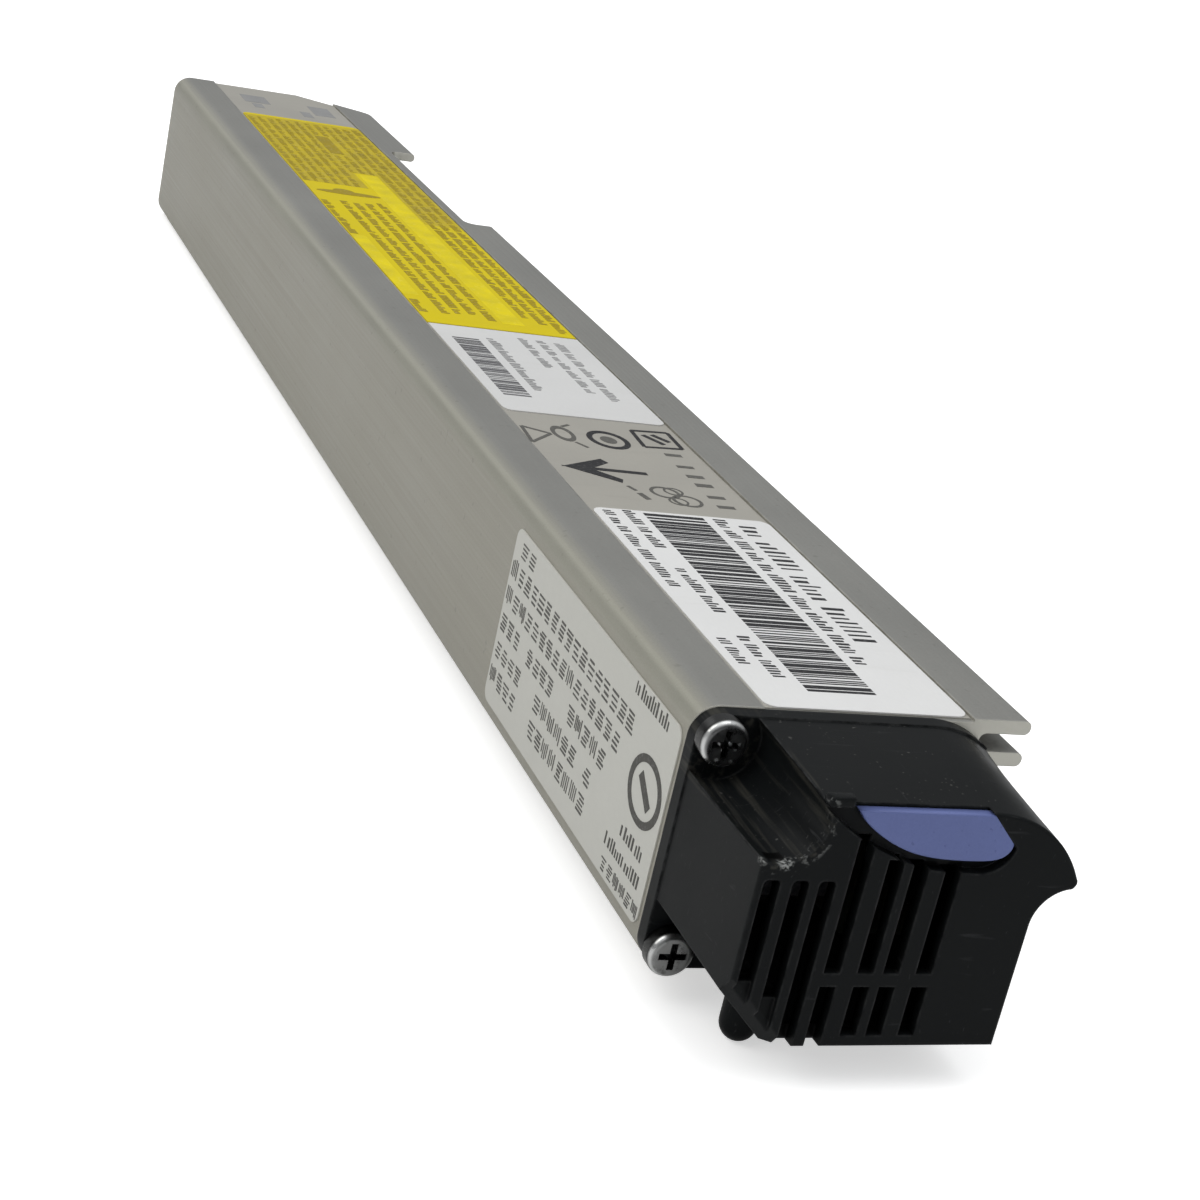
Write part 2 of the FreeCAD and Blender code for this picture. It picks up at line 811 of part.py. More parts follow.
def cut_grille(body):
    """Seven vertical slots, four of them parted by a level bridge."""
    grille = new_sketch(body, "XZ_Plane", size.cap_depth)
    low = size.face_base / 2
    rounded = [
        (size.slot_1_left, size.slot_1_base),
        (size.slot_2_left, size.slot_2_base),
        (size.slot_3_left, low),
    ]
    upper = [
        (size.slot_4_left, size.bridge_top, size.pad_corner_height),
        (size.slot_5_left, size.bridge_top, size.slot_5_top),
        (size.slot_6_left, size.bridge_top, size.slot_6_top),
        (size.slot_7_left, size.bridge_top, size.slot_7_top),
    ]
    lower = [
        (size.slot_4_left, low, size.bridge_base),
        (size.slot_5_left, size.low_slots_base, size.bridge_base),
        (size.slot_6_left, size.low_slots_base, size.bridge_base),
        (size.slot_7_left, size.low_slots_base, size.bridge_base),
    ]
    for left, base in rounded:
        right = left + size.slot_width
        top = size.left_slots_top
        radius = size.slot_end_radius
        outline(grille, [
            (left, base),
            (right, base),
            (right, top - radius, radius, 1),
            (right - radius, top),
            (left + radius, top, radius, 1),
            (left, top - radius),
        ])
    for left, base, top in upper + lower:
        rectangle(grille, left, base, left + size.slot_width, top)
    add_pocket(body, grille, size.slot_depth)
    blind = new_sketch(body, "XZ_Plane", size.cap_depth)
    for left, base, top in (
            (size.slot_1_left, size.blind_1_base, size.slot_1_base),
            (size.slot_2_left, size.blind_2_base, size.slot_2_base)):
        rectangle(blind, left, base, left + size.slot_width, top)
    add_pocket(body, blind, size.blind_depth)


def add_peg(body):
    """A round peg with a domed end, turned about an upright axis."""
    half = new_sketch(body, "XZ_Plane", size.peg_back)
    edge = size.peg_from_left + size.peg_radius
    top = size.face_base + size.cap_wall
    outline(half, [
        (size.peg_from_left, top),
        (size.peg_from_left, -size.peg_reach, size.peg_radius, 1),
        (edge, size.peg_radius - size.peg_reach),
        (edge, top),
    ])
    axis = half.addGeometry(Part.LineSegment(Vector(size.peg_from_left.number, 0, 0),
                                             Vector(size.peg_from_left.number, 1, 0)), True)
    fix_point(half, axis, 1, size.peg_from_left, 0.0)
    fix_point(half, axis, 2, size.peg_from_left, 1.0)
    add_revolution(body, half, "Axis0")


def add_tongues(body):
    """Three tongues that slide inside the tube behind the flange."""
    tongues = new_sketch(body, "XZ_Plane")
    low = size.wall + size.fit_clearance
    high = size.bore_top - size.fit_clearance
    side = size.bore_right - size.fit_clearance
    rectangle(tongues, size.tongue_inset, low,
              size.bore_right - size.tongue_inset, low + size.tongue_thickness)
    rectangle(tongues, size.tongue_inset, high - size.tongue_thickness,
              size.bore_right - size.tongue_inset, high)
    rectangle(tongues, side - size.tongue_thickness, low + size.side_tongue_inset,
              side, high - size.side_tongue_inset)
    add_pad(body, tongues, size.tongue_length, backwards=True)


def build_touch_pad():
    """The coloured touch pad that sits in the pocket of the cap."""
    body = new_body("touch_pad")
    floor = size.cap_depth - size.pad_pocket_depth
    field = new_sketch(body, "XZ_Plane", floor)
    touch_outline(field, size.pad_clearance, size.tube_height)
    add_pad(body, field, size.pad_thickness)
    trim = new_sketch(body, "XZ_Plane", floor)
    rectangle(trim, 0.0, size.face_top - size.pad_top_drop,
              size.body_width, size.tube_height + size.pad_thickness)
    add_pocket(body, trim, size.pad_thickness, backwards=True)


# Screws

def cross_recess(body, drawing, across, up, length, width, depth, backwards=False):
    """Cut a cross for a screwdriver into the face of a screw."""
    far = length / 2
    near_side = width / 2
    outline(drawing, [
        (across - far, up - near_side),
        (across - near_side, up - near_side),
        (across - near_side, up - far),
        (across + near_side, up - far),
        (across + near_side, up - near_side),
        (across + far, up - near_side),
        (across + far, up + near_side),
        (across + near_side, up + near_side),
        (across + near_side, up + far),
        (across - near_side, up + far),
        (across - near_side, up + near_side),
        (across - far, up + near_side),
    ])
    return add_pocket(body, drawing, depth, backwards=backwards)


def build_front_screws():
    """Two pan head screws that hold the front cap to the screw ports."""
    body = new_body("front_screws")
    half = new_sketch(body, "YZ_Plane", size.port_inset)
    seat = -size.flange_thickness
    face = seat - size.screw_head_height
    rim = face + size.screw_head_edge
    tip = seat + size.screw_length
    outline(half, [
        (face, size.port_inset),
        (face, size.port_inset + size.screw_head_radius - size.screw_head_edge,
         size.screw_head_edge, -1),
        (rim, size.port_inset + size.screw_head_radius),
        (seat, size.port_inset + size.screw_head_radius),
        (seat, size.port_inset + size.screw_shank_radius),
        (tip, size.port_inset + size.screw_shank_radius),
        (tip, size.port_inset),
    ])
    axis = half.addGeometry(Part.LineSegment(Vector(0, size.port_inset.number, 0),
                                             Vector(1, size.port_inset.number, 0)), True)
    fix_point(half, axis, 1, 0.0, size.port_inset)
    fix_point(half, axis, 2, 1.0, size.port_inset)
    turned = add_revolution(body, half, "Axis0")

    recess = new_sketch(body, "XZ_Plane", -face)
    cut = cross_recess(body, recess, size.port_inset, size.port_inset, size.cross_length,
                       size.cross_width, size.cross_depth)
    row_of(body, [turned, cut], recess, "V_Axis", size.port_high - size.port_inset, 2)


def plug_screw_profile(drawing, across, clearance):
    """Half of a countersunk screw that enters from below."""
    head = size.plug_head_radius + clearance
    shank = size.plug_shank_radius + clearance
    outline(drawing, [
        (across, 0.0),
        (across + head, 0.0),
        (across + shank, size.plug_head_height),
        (across + shank, size.plug_screw_length + clearance),
        (across, size.plug_screw_length + clearance),
    ])
    axis = drawing.addGeometry(Part.LineSegment(Vector(across.number, 0, 0),
                                                Vector(across.number, 1, 0)), True)
    fix_point(drawing, axis, 1, across, 0.0)
    fix_point(drawing, axis, 2, across, 1.0)


def cut_plug_screw_holes(body):
    """Countersunk holes for the plug screws, with a little clearance."""
    for index in range(2):
        half = new_sketch(body, "XZ_Plane", -size.plug_screw_along)
        across = size.plug_screw_across + size.boss_pitch * index
        plug_screw_profile(half, across, size.plug_screw_play)
        groove = body.newObject("PartDesign::Groove", "Groove")
        groove.Profile = half
        groove.ReferenceAxis = (half, ["Axis0"])
        groove.Angle = 360.0
        document.recompute()


def build_plug_screws():
    """Two countersunk screws that hold the rear plug from below."""
    body = new_body("plug_screws")
    half = new_sketch(body, "XZ_Plane", -size.plug_screw_along)
    plug_screw_profile(half, size.plug_screw_across, linked(0.0))
    turned = add_revolution(body, half, "Axis0")
    recess = new_sketch(body, "XY_Plane")
    cut = cross_recess(body, recess, size.plug_screw_across, size.plug_screw_along,
                       size.plug_cross_length, size.plug_cross_width,
                       size.plug_cross_depth, backwards=True)
    row_of(body, [turned, cut], recess, "H_Axis", size.boss_pitch, 2)


# Labels

def top_label(label, start, end, base, thickness, rounded):
    """A thin label that lies in the bed along the top."""
    body = new_body(label)
    field = new_sketch(body, "XY_Plane", base)
    rectangle(field, size.label_left, start, size.label_right, end)
    add_pad(body, field, thickness)
    add_fillet(body, size.label_corner_radius, lambda edge: (
        edge_along(edge, "z") and any(near(edge.BoundBox.Center.y, at) for at in rounded)))


def base_label():
    """The long foil label under the others."""
    body = new_body("base_label")
    field = new_sketch(body, "XY_Plane", size.bed_floor)
    left = size.bed_left + size.label_margin / 2
    right = size.bed_right - size.label_margin / 2
    start = size.label_end_margin
    end = size.tube_length - size.label_end_margin
    slope = size.rear_cut_bend_back / (size.rear_cut_bend - size.rear_cut_start)
    cut_end = end - (right - size.rear_cut_start) * slope
    outline(field, [(left, start), (right, start), (right, cut_end),
                    (size.rear_cut_start - start, end), (left, end)])
    add_pad(body, field, size.base_label_thickness)


def build_labels():
    base_label()
    thickness = size.top_label_thickness
    start = size.label_end_margin
    top_label("front_white_label", start, size.front_label_end, size.base_label_top, thickness,
              (start, size.front_label_end))
    top_label("rear_white_label", size.rear_white_start, size.rear_white_end,
              size.base_label_top, thickness, (size.rear_white_start,))
    top_label("yellow_label", size.yellow_start, size.yellow_end, size.base_label_top,
              thickness, (size.yellow_end,))
    side = new_body("side_label")
    field = new_sketch(side, "YZ_Plane", -size.top_label_thickness)
    rectangle(field, size.label_end_margin, size.side_label_inset,
              size.side_label_length, size.tube_height - size.side_label_inset)
    add_pad(side, field, size.top_label_thickness)
    add_fillet(side, size.label_corner_radius, lambda edge: edge_along(edge, "x"))


# Cells and the shell around them

def build_cell(label, start):
    """A round cell: can with a crimp near the raised positive button."""
    body = new_body(label)
    half = new_sketch(body, "YZ_Plane", size.cell_centre)
    axis_height = size.cell_height
    end = start + size.cell_length
    shoulder = end - size.button_height
    crimp = end - size.crimp_back
    can = axis_height + size.cell_radius
    outline(half, [
        (start, axis_height),
        (end, axis_height),
        (end, axis_height + size.button_radius),
        (shoulder, axis_height + size.button_radius),
        (shoulder, can - size.cell_edge),
        (shoulder - size.cell_edge, can),
        (crimp + size.crimp_width / 2, can),
        (crimp, can - size.crimp_depth),
        (crimp - size.crimp_width / 2, can),
        (start + size.cell_edge, can),
        (start, can - size.cell_edge),
    ])
    axis = half.addGeometry(Part.LineSegment(Vector(0, axis_height.number, 0),
                                             Vector(1, axis_height.number, 0)), True)
    fix_point(half, axis, 1, 0.0, axis_height)
    fix_point(half, axis, 2, 1.0, axis_height)
    add_revolution(body, half, "Axis0")


def build_cells():
    for index, label in enumerate(("cell_front", "cell_middle", "cell_rear")):
        build_cell(label, size.cells_start + size.cell_step * index)


def build_insulator_rings():
    """A flat ring round the positive button of each cell."""
    body = new_body("insulator_rings")
    shoulder = size.cells_start + size.cell_length - size.button_height
    field = new_sketch(body, "XZ_Plane", -shoulder)
    circle(field, size.cell_centre, size.cell_height, size.cell_radius - size.ring_inset)
    circle(field, size.cell_centre, size.cell_height,
           size.button_radius + size.shell_clearance)
    ring = add_pad(body, field, size.ring_thickness, backwards=True)
    row_of(body, [ring], field, "N_Axis", size.cell_step * 2, 3).Reversed = True
    document.recompute()


def half_shell(label, upper):
    """Half of the shell that clamps the cells, with lips at both ends."""
    body = new_body(label)
    drawing = new_sketch(body, "XZ_Plane", -size.shell_start)
    left = size.cell_centre - size.shell_radius
    right = size.cell_centre + size.shell_radius
    length = size.shell_end - size.shell_start
    foot_left = size.cell_centre - size.foot_width / 2
    foot_right = size.cell_centre + size.foot_width / 2
    if upper:
        outline(drawing, [(right, size.cell_height, size.shell_radius, 1),
                          (size.cell_centre, size.cell_height + size.shell_radius,
                           size.shell_radius, 1),
                          (left, size.cell_height)])
        foot_ends = (size.cell_height + size.cell_radius / 2, size.land_top)
    else:
        outline(drawing, [(left, size.cell_height, size.shell_radius, 1),
                          (size.cell_centre, size.cell_height - size.shell_radius,
                           size.shell_radius, 1),
                          (right, size.cell_height)])
        foot_ends = (size.wall, size.cell_height - size.cell_radius / 2)
    add_pad(body, drawing, length, backwards=True)
    foot = new_sketch(body, "XZ_Plane", -size.shell_start)
    rectangle(foot, foot_left, foot_ends[0], foot_right, foot_ends[1])
    add_pad(body, foot, length, backwards=True)
    opening = new_sketch(body, "XZ_Plane", -size.shell_start)
    circle(opening, size.cell_centre, size.cell_height, size.shell_opening)
    add_pocket(body, opening, length)
    chamber = new_sketch(body, "XZ_Plane", -(size.shell_start + size.shell_lip))
    circle(chamber, size.cell_centre, size.cell_height, size.shell_bore)
    add_pocket(body, chamber, length - size.shell_lip * 2)
    if upper:
        cut_windows(body)


def cut_windows(body):
    """Windows over the two joints between cells, for the sense leads."""
    windows = new_sketch(body, "XY_Plane", size.land_top)
    for index in (1, 2):
        joint = size.cells_start + size.cell_step * index - size.cell_gap / 2
        rectangle(windows, size.cell_centre - size.window_width / 2,
                  joint - size.window_length / 2,
                  size.cell_centre + size.window_width / 2,
                  joint + size.window_length / 2)
    add_pocket(body, windows, size.land_top - size.cell_height - size.cell_radius / 2)


# Nickel strips

def build_link(label, start):
    """A folded strip that joins one cell to the next."""
    body = new_body(label)
    left = size.cell_centre - size.strip_width / 2
    fold = new_sketch(body, "YZ_Plane", left)
    end = start + size.cell_gap
    low = size.cell_height - size.strip_drop
    outer = size.cell_gap / 2
    inner = outer - size.strip_thickness
    outline(fold, [
        (start, low),
        (start + size.strip_thickness, low),
        (start + size.strip_thickness, size.strip_top, inner, -1),
        (start + outer, size.strip_top + inner, inner, -1),
        (end - size.strip_thickness, size.strip_top),
        (end - size.strip_thickness, low),
        (end, low),
        (end, size.strip_top, outer, 1),
        (start + outer, size.strip_top + outer, outer, 1),
        (start, size.strip_top),
    ])
    add_pad(body, fold, size.strip_width)


def build_end_tab(label, face, away):
    """An angled strip on the outer end of the row. It bends away from the
    cells: -1 towards the front, 1 towards the rear."""
    body = new_body(label)
    left = size.cell_centre - size.strip_width / 2
    fold = new_sketch(body, "YZ_Plane", left)
    low = size.cell_height - size.strip_drop
    outer = face + size.strip_thickness * away
    foot = face + size.strip_foot * away
    outline(fold, [
        (face, low),
        (face, size.strip_top),
        (foot, size.strip_top),
        (foot, size.strip_top - size.strip_thickness),
        (outer, size.strip_top - size.strip_thickness),
        (outer, low),
    ])
    add_pad(body, fold, size.strip_width)


def build_strips():
    for index, label in enumerate(("link_strip_front", "link_strip_rear")):
        build_link(label, size.cells_start + size.cell_step * index + size.cell_length)
    build_end_tab("negative_strip", size.cells_start, -1)
    build_end_tab("positive_strip", size.cells_end, 1)


# Foam

def build_foam():
    """Three strips between the shell and the tube, and a pad at the front."""
    strips = new_body("foam_strips")
    inset = (size.cell_length - size.foam_length) / 2
    field = new_sketch(strips, "XY_Plane", size.land_top)
    left = size.cell_centre - size.foam_width / 2
    rectangle(field, left, size.cells_start + inset, left + size.foam_width,
              size.cells_start + inset + size.foam_length)
    strip = add_pad(strips, field, size.bore_top - size.land_top)
    row_of(strips, [strip], field, "V_Axis", size.cell_step * 2, 3)
    pad = new_body("end_foam")
    face = new_sketch(pad, "XZ_Plane", -size.shell_start)
    half = size.end_foam_width / 2
    base = size.cell_height - size.end_foam_drop
    rectangle(face, size.cell_centre - half, base,
              size.cell_centre + half, base + size.end_foam_height)
    add_pad(pad, face, size.end_foam_length)


# Circuit board

def post_places():
    return [(across, along)
            for across in (size.board_left + size.post_inset,
                           size.board_right - size.post_inset)
            for along in (size.board_start + size.post_inset,
                          size.connector_start - size.post_inset)]


def build_board():
    """Board with four screw holes, on a carrier with four posts."""
    board = new_body("circuit_board")
    field = new_sketch(board, "XY_Plane", size.board_base)
    rectangle(field, size.board_left, size.board_start, size.board_right, size.board_end)
    add_pad(board, field, size.board_thickness)
    holes = new_sketch(board, "XY_Plane", size.board_top)
    for across, along in post_places():
        circle(holes, across, along, size.board_shank_radius + size.fit_clearance)
    add_pocket(board, holes, size.board_thickness)

    carrier = new_body("board_carrier")
    base = new_sketch(carrier, "XY_Plane", size.wall)
    rectangle(base, size.board_left, size.board_start,
              size.bore_right - size.bore_corner_radius - size.carrier_margin, size.plug_front)
    add_pad(carrier, base, size.carrier_thickness)
    posts = new_sketch(carrier, "XY_Plane", size.wall)
    for across, along in post_places():
        circle(posts, across, along, size.post_radius)
    add_pad(carrier, posts, size.board_base - size.wall)
    pilots = new_sketch(carrier, "XY_Plane", size.board_base)
    for across, along in post_places():
        circle(pilots, across, along, size.board_shank_radius)
    add_pocket(carrier, pilots, size.board_base - size.wall - size.carrier_thickness)

    screws = new_body("board_screws")
    shanks = new_sketch(screws, "XY_Plane", size.board_top)
    heads = new_sketch(screws, "XY_Plane", size.board_top)
    for across, along in post_places():
        circle(shanks, across, along, size.board_shank_radius - size.board_shank_play)
        circle(heads, across, along, size.board_screw_radius)
    add_pad(screws, shanks, size.board_screw_length, backwards=True)
    add_pad(screws, heads, size.board_screw_head)


def box_body(label, boxes):
    """Plain rectangular pieces on the board, given as (left, start, width,
    length, height)."""
    body = new_body(label)
    for left, start, width, length, height in boxes:
        field = new_sketch(body, "XY_Plane", size.board_top)
        rectangle(field, left, start, left + width, start + length)
        add_pad(body, field, height)
    return body


def build_components():
    """The larger components that stand on the board."""
    across = size.board_left
    along = size.board_start
    chip = box_body("gauge_chip", [
        (across + size.chip_across, along + size.chip_along,
         size.chip_side, size.chip_side, size.chip_height)])
    top = size.board_top + size.chip_height
    add_chamfer(chip, size.chip_edge, lambda edge: (
        near(edge.BoundBox.ZMin, top) and near(edge.BoundBox.ZMax, top)))
    box_body("power_transistors", [
        (across + size.transistor_across,
         along + size.transistor_along + size.transistor_pitch * index,
         size.transistor_width, size.transistor_length, size.transistor_height)
        for index in range(2)])
    box_body("fuse", [
        (size.board_right - size.fuse_inset, along + size.fuse_along,
         size.fuse_width, size.fuse_length, size.fuse_height)])
    box_body("sense_resistor", [
        (across + size.resistor_across, along + size.resistor_along,
         size.resistor_width, size.resistor_length, size.resistor_height)])
    box_body("capacitors", [
        (across + size.capacitor_across,
         along + size.capacitor_along + size.capacitor_pitch * index,
         size.capacitor_width, size.capacitor_length, size.capacitor_height)
        for index in range(CAPACITOR_COUNT)])


# Rear plug and connector

def build_rear_plug():
    """Plug plate inside the tube end, with a shroud round the connector."""
    body = new_body("rear_plug")
    plate = new_sketch(body, "XZ_Plane", -size.plug_front)
    gap = size.fit_clearance
    rectangle(plate, size.wall + gap, size.wall + gap, size.bore_right - gap, size.bore_top - gap)
    add_pad(body, plate, size.plug_thickness, backwards=True)
    add_fillet(body, size.bore_corner_radius, lambda edge: (
        edge_along(edge, "y", x=size.bore_right - gap)))
    shroud = new_sketch(body, "XZ_Plane", -size.plug_back)
    wall = size.shroud_wall + size.fit_clearance
    rectangle(shroud, size.connector_left - wall, size.board_top - wall,
              size.connector_right + wall, size.connector_top + wall)
    add_pad(body, shroud, size.shroud_length, backwards=True)
    opening = new_sketch(body, "XZ_Plane", -size.plug_front)
    rectangle(opening, size.connector_left - gap, size.board_top - gap,
              size.connector_right + gap, size.connector_top + gap)
    add_pocket(body, opening, size.plug_thickness + size.shroud_length)
    bosses = new_sketch(body, "XZ_Plane", -size.plug_back)
    low = size.wall + gap
    for index in range(2):
        left = size.boss_left + size.boss_pitch * index
        rectangle(bosses, left, low, left + size.boss_width, low + size.boss_height)
    add_pad(body, bosses, size.boss_length, backwards=True)
    cut_plug_screw_holes(body)


def contact_left(index):
    middle = (size.connector_left + size.connector_right) / 2
    first = middle - size.contact_pitch * ((CONTACT_COUNT - 1) / 2)
    return first + size.contact_pitch * index


def build_connector():
    """Block with one bay for each contact, and the contacts inside it."""
    body = new_body("connector_housing")
    block = new_sketch(body, "XZ_Plane", -size.connector_start)
    rectangle(block, size.connector_left, size.board_top,
              size.connector_right, size.connector_top)
    add_pad(body, block, size.connector_end - size.connector_start, backwards=True)
    bays = new_sketch(body, "XZ_Plane", -size.connector_end)
    middle = size.board_top + size.connector_height / 2
    half = size.contact_bay / 2
    for index in range(CONTACT_COUNT):
        across = contact_left(index)
        rectangle(bays, across - half, middle - half * 2, across + half, middle + half * 2)
    add_pocket(body, bays, size.contact_bay_depth, backwards=True)

    contacts = new_body("connector_contacts")
    field = new_sketch(contacts, "XZ_Plane", -(size.connector_end - size.contact_bay_depth))
    for index in range(CONTACT_COUNT):
        across = contact_left(index)
        rectangle(field, across - size.contact_width / 2,
                  middle - size.contact_thickness / 2,
                  across + size.contact_width / 2,
                  middle + size.contact_thickness / 2)
    reach = size.contact_bay_depth - size.contact_end_gap
    add_pad(contacts, field, reach, backwards=True)


# Leads

def lead_path(points):
    """Straight runs joined by tangent arcs, each as large as its runs allow."""
    edges = []
    last = points[0]
    for index in range(1, len(points) - 1):
        corner = points[index]
        before = points[index - 1] - corner
        after = points[index + 1] - corner
        half_turn = (math.pi - before.getAngle(after)) / 2
        trim = 0.45 * min(before.Length, after.Length)
        radius = trim / math.tan(half_turn)
        entry = corner + before.normalize() * trim
        leave = corner + after.normalize() * trim
        bisector = (before + after).normalize()
        middle = corner + bisector * (radius / math.cos(half_turn) - radius)
        edges.append(Part.LineSegment(last, entry).toShape())
        edges.append(Part.Arc(entry, middle, leave).toShape())
        last = leave
    edges.append(Part.LineSegment(last, points[-1]).toShape())
    return Part.Wire(edges)


def build_lead(label, points, radius):
    """A round lead swept along its whole route."""
    points = [Vector(*(linked(place).number for place in point)) for point in points]
    path = lead_path(points)
    section = Part.Wire([Part.Circle(points[0], points[1] - points[0], radius.number).toShape()])
    solid = path.makePipeShell([section], True, False)
    expected = math.pi * radius.number ** 2 * path.Length
    if abs(solid.Volume - expected) > 0.02 * expected:
        raise ValueError(f"{label} has volume {solid.Volume:.2f}, not {expected:.2f}")
    lead = document.addObject("Part::Feature", label)
    lead.Shape = solid
    place(lead, label)


def build_leads():
    """Power and sense leads along the upper right corner of the tube."""
    power = size.power_lead_radius
    on_strip = size.strip_top + power
    tab_front = size.cells_start - size.strip_foot + power
    tab_back = size.cells_end + size.strip_foot - power
    corner_across = size.bore_right - power * 2 - size.lead_margin
    corner_up = size.bore_top - power * 2 - size.lead_margin
    landing = size.board_start + size.lead_landing
    build_lead("negative_lead", [
        (size.cell_centre - size.strip_width / 3, tab_front, on_strip),
        (size.cell_centre + size.strip_width, tab_front, on_strip),
        (corner_across, tab_front + size.lead_bend, corner_up),
        (corner_across, size.board_start - size.sense_lead_turn, corner_up),
        (corner_across - power, landing, size.board_top + size.lead_drop),
        (corner_across - power, landing, size.board_top),
    ], power)
    beside = size.board_left + size.positive_lead_across
    build_lead("positive_lead", [
        (size.cell_centre + size.strip_width / 3, tab_back, on_strip),
        (size.cell_centre - size.strip_width, tab_back, on_strip),
        (beside, tab_back + size.lead_bend, on_strip - size.lead_bend),
        (beside, landing, size.board_top + size.lead_drop - size.lead_bend),
        (beside, landing, size.board_top),
    ], power)
    sense = size.sense_lead_radius
    under_lid = size.bore_top - sense - size.lead_margin
    start = size.cell_centre + size.sense_lead_start
    for index, label in enumerate(("sense_lead_front", "sense_lead_rear")):
        joint = size.cells_start + size.cell_step * (index + 1) - size.cell_gap / 2
        across = corner_across - power * 3 - size.lead_spacing * index
        descent = size.board_start - size.sense_lead_turn
        build_lead(label, [
            (start, joint, size.strip_top + size.cell_gap / 2),
            (start, joint, under_lid - sense * 2),
            (start + size.sense_lead_bend, joint + size.lead_bend, under_lid),
            (across, joint + size.sense_lead_turn, under_lid),
            (across, descent, under_lid),
            (across - sense, landing + sense * 4, size.board_top + size.lead_drop),
            (across - sense, landing + sense * 4, size.board_top),
        ], sense)


def save():
    """Check every object and piece, then write one file for each piece."""
    document.recompute()
    for item in document.Objects:
        if "Invalid" in item.State or "Error" in item.State:
            owners = ", ".join(owner.Label for owner in item.InList)
            raise ValueError(f"{item.Label} in {owners} failed: {item.State}")
    os.makedirs("parts", exist_ok=True)
    for piece in pieces:
        shape = piece.Shape
        if shape.isNull() or not shape.isValid() or not shape.Solids:
            raise ValueError(f"{piece.Label} has no valid solid")
        shape.exportStep(f"parts/{piece.Label}.step")
        print(f"{piece.Label}: {len(shape.Solids)} solid, {shape.Volume:.1f} mm3")


build_housing()
build_front_cap()
build_touch_pad()
build_front_screws()
build_labels()
build_cells()
build_insulator_rings()
half_shell("cell_tray", upper=False)
half_shell("cell_cover", upper=True)
build_strips()
build_foam()
build_board()
build_components()
build_rear_plug()
build_plug_screws()
build_connector()
build_leads()
save()
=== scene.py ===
import json
import math
import random

import bmesh
import bpy
from mathutils import Matrix, Vector


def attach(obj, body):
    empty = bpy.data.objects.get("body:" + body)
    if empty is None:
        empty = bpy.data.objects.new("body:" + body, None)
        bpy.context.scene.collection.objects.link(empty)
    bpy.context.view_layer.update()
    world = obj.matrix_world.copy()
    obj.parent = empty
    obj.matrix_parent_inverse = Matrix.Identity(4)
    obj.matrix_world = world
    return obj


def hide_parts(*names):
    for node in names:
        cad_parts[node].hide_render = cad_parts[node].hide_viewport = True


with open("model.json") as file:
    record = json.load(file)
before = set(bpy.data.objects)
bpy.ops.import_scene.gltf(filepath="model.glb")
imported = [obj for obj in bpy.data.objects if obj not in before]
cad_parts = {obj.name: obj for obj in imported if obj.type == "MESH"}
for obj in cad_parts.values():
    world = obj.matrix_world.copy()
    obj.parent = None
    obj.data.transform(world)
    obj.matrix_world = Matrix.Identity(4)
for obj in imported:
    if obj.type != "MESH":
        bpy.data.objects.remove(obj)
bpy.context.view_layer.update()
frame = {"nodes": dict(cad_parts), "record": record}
nodes = frame["nodes"]

# Places are measured in millimetres from the left face, the front end and the
# bottom of the tube, and moved to the shared frame here.
HALF_WIDTH = 15.8
HALF_LENGTH = 140.5


def at(across, along, up):
    return ((across - HALF_WIDTH) / 1000, (along - HALF_LENGTH) / 1000, up / 1000)


def put_in_scene(name, data):
    item = bpy.data.objects.new(name, data)
    bpy.context.scene.collection.objects.link(item)
    return item


# Camera: its place in metres, its axes and its lens, as recovered from the photograph

CAMERA_PLACE = (-0.108675, -0.322379, 0.111110)
CAMERA_RIGHT = (0.92187, -0.32627, 0.20904)
CAMERA_UP = (-0.06575, 0.39994, 0.91418)
CAMERA_AHEAD = (0.38187, 0.85651, -0.34724)
LENS = 70.65
SENSOR_WIDTH = 36
CLIP_START = 0.01
CLIP_END = 50


def make_camera():
    data = bpy.data.cameras.new("Camera")
    data.sensor_width = SENSOR_WIDTH
    data.lens = LENS
    data.clip_start = CLIP_START
    data.clip_end = CLIP_END
    camera = put_in_scene("Camera", data)
    camera.matrix_world = Matrix([
        (CAMERA_RIGHT[i], CAMERA_UP[i], -CAMERA_AHEAD[i], CAMERA_PLACE[i]) for i in range(3)
    ] + [(0, 0, 0, 1)])
    bpy.context.scene.camera = camera


# Node materials

BEVEL_SAMPLES = 4
COAT_ROUGHNESS = 0.1
NOISE_LOW = 0.3
NOISE_HIGH = 0.7
COLOUR_INPUTS = slice(6, 8)
COLOUR_OUTPUT = 2


def colour(value):
    """Add the fourth number to a colour given as three."""
    return (*value, 1.0) if isinstance(value, tuple) and len(value) == 3 else value


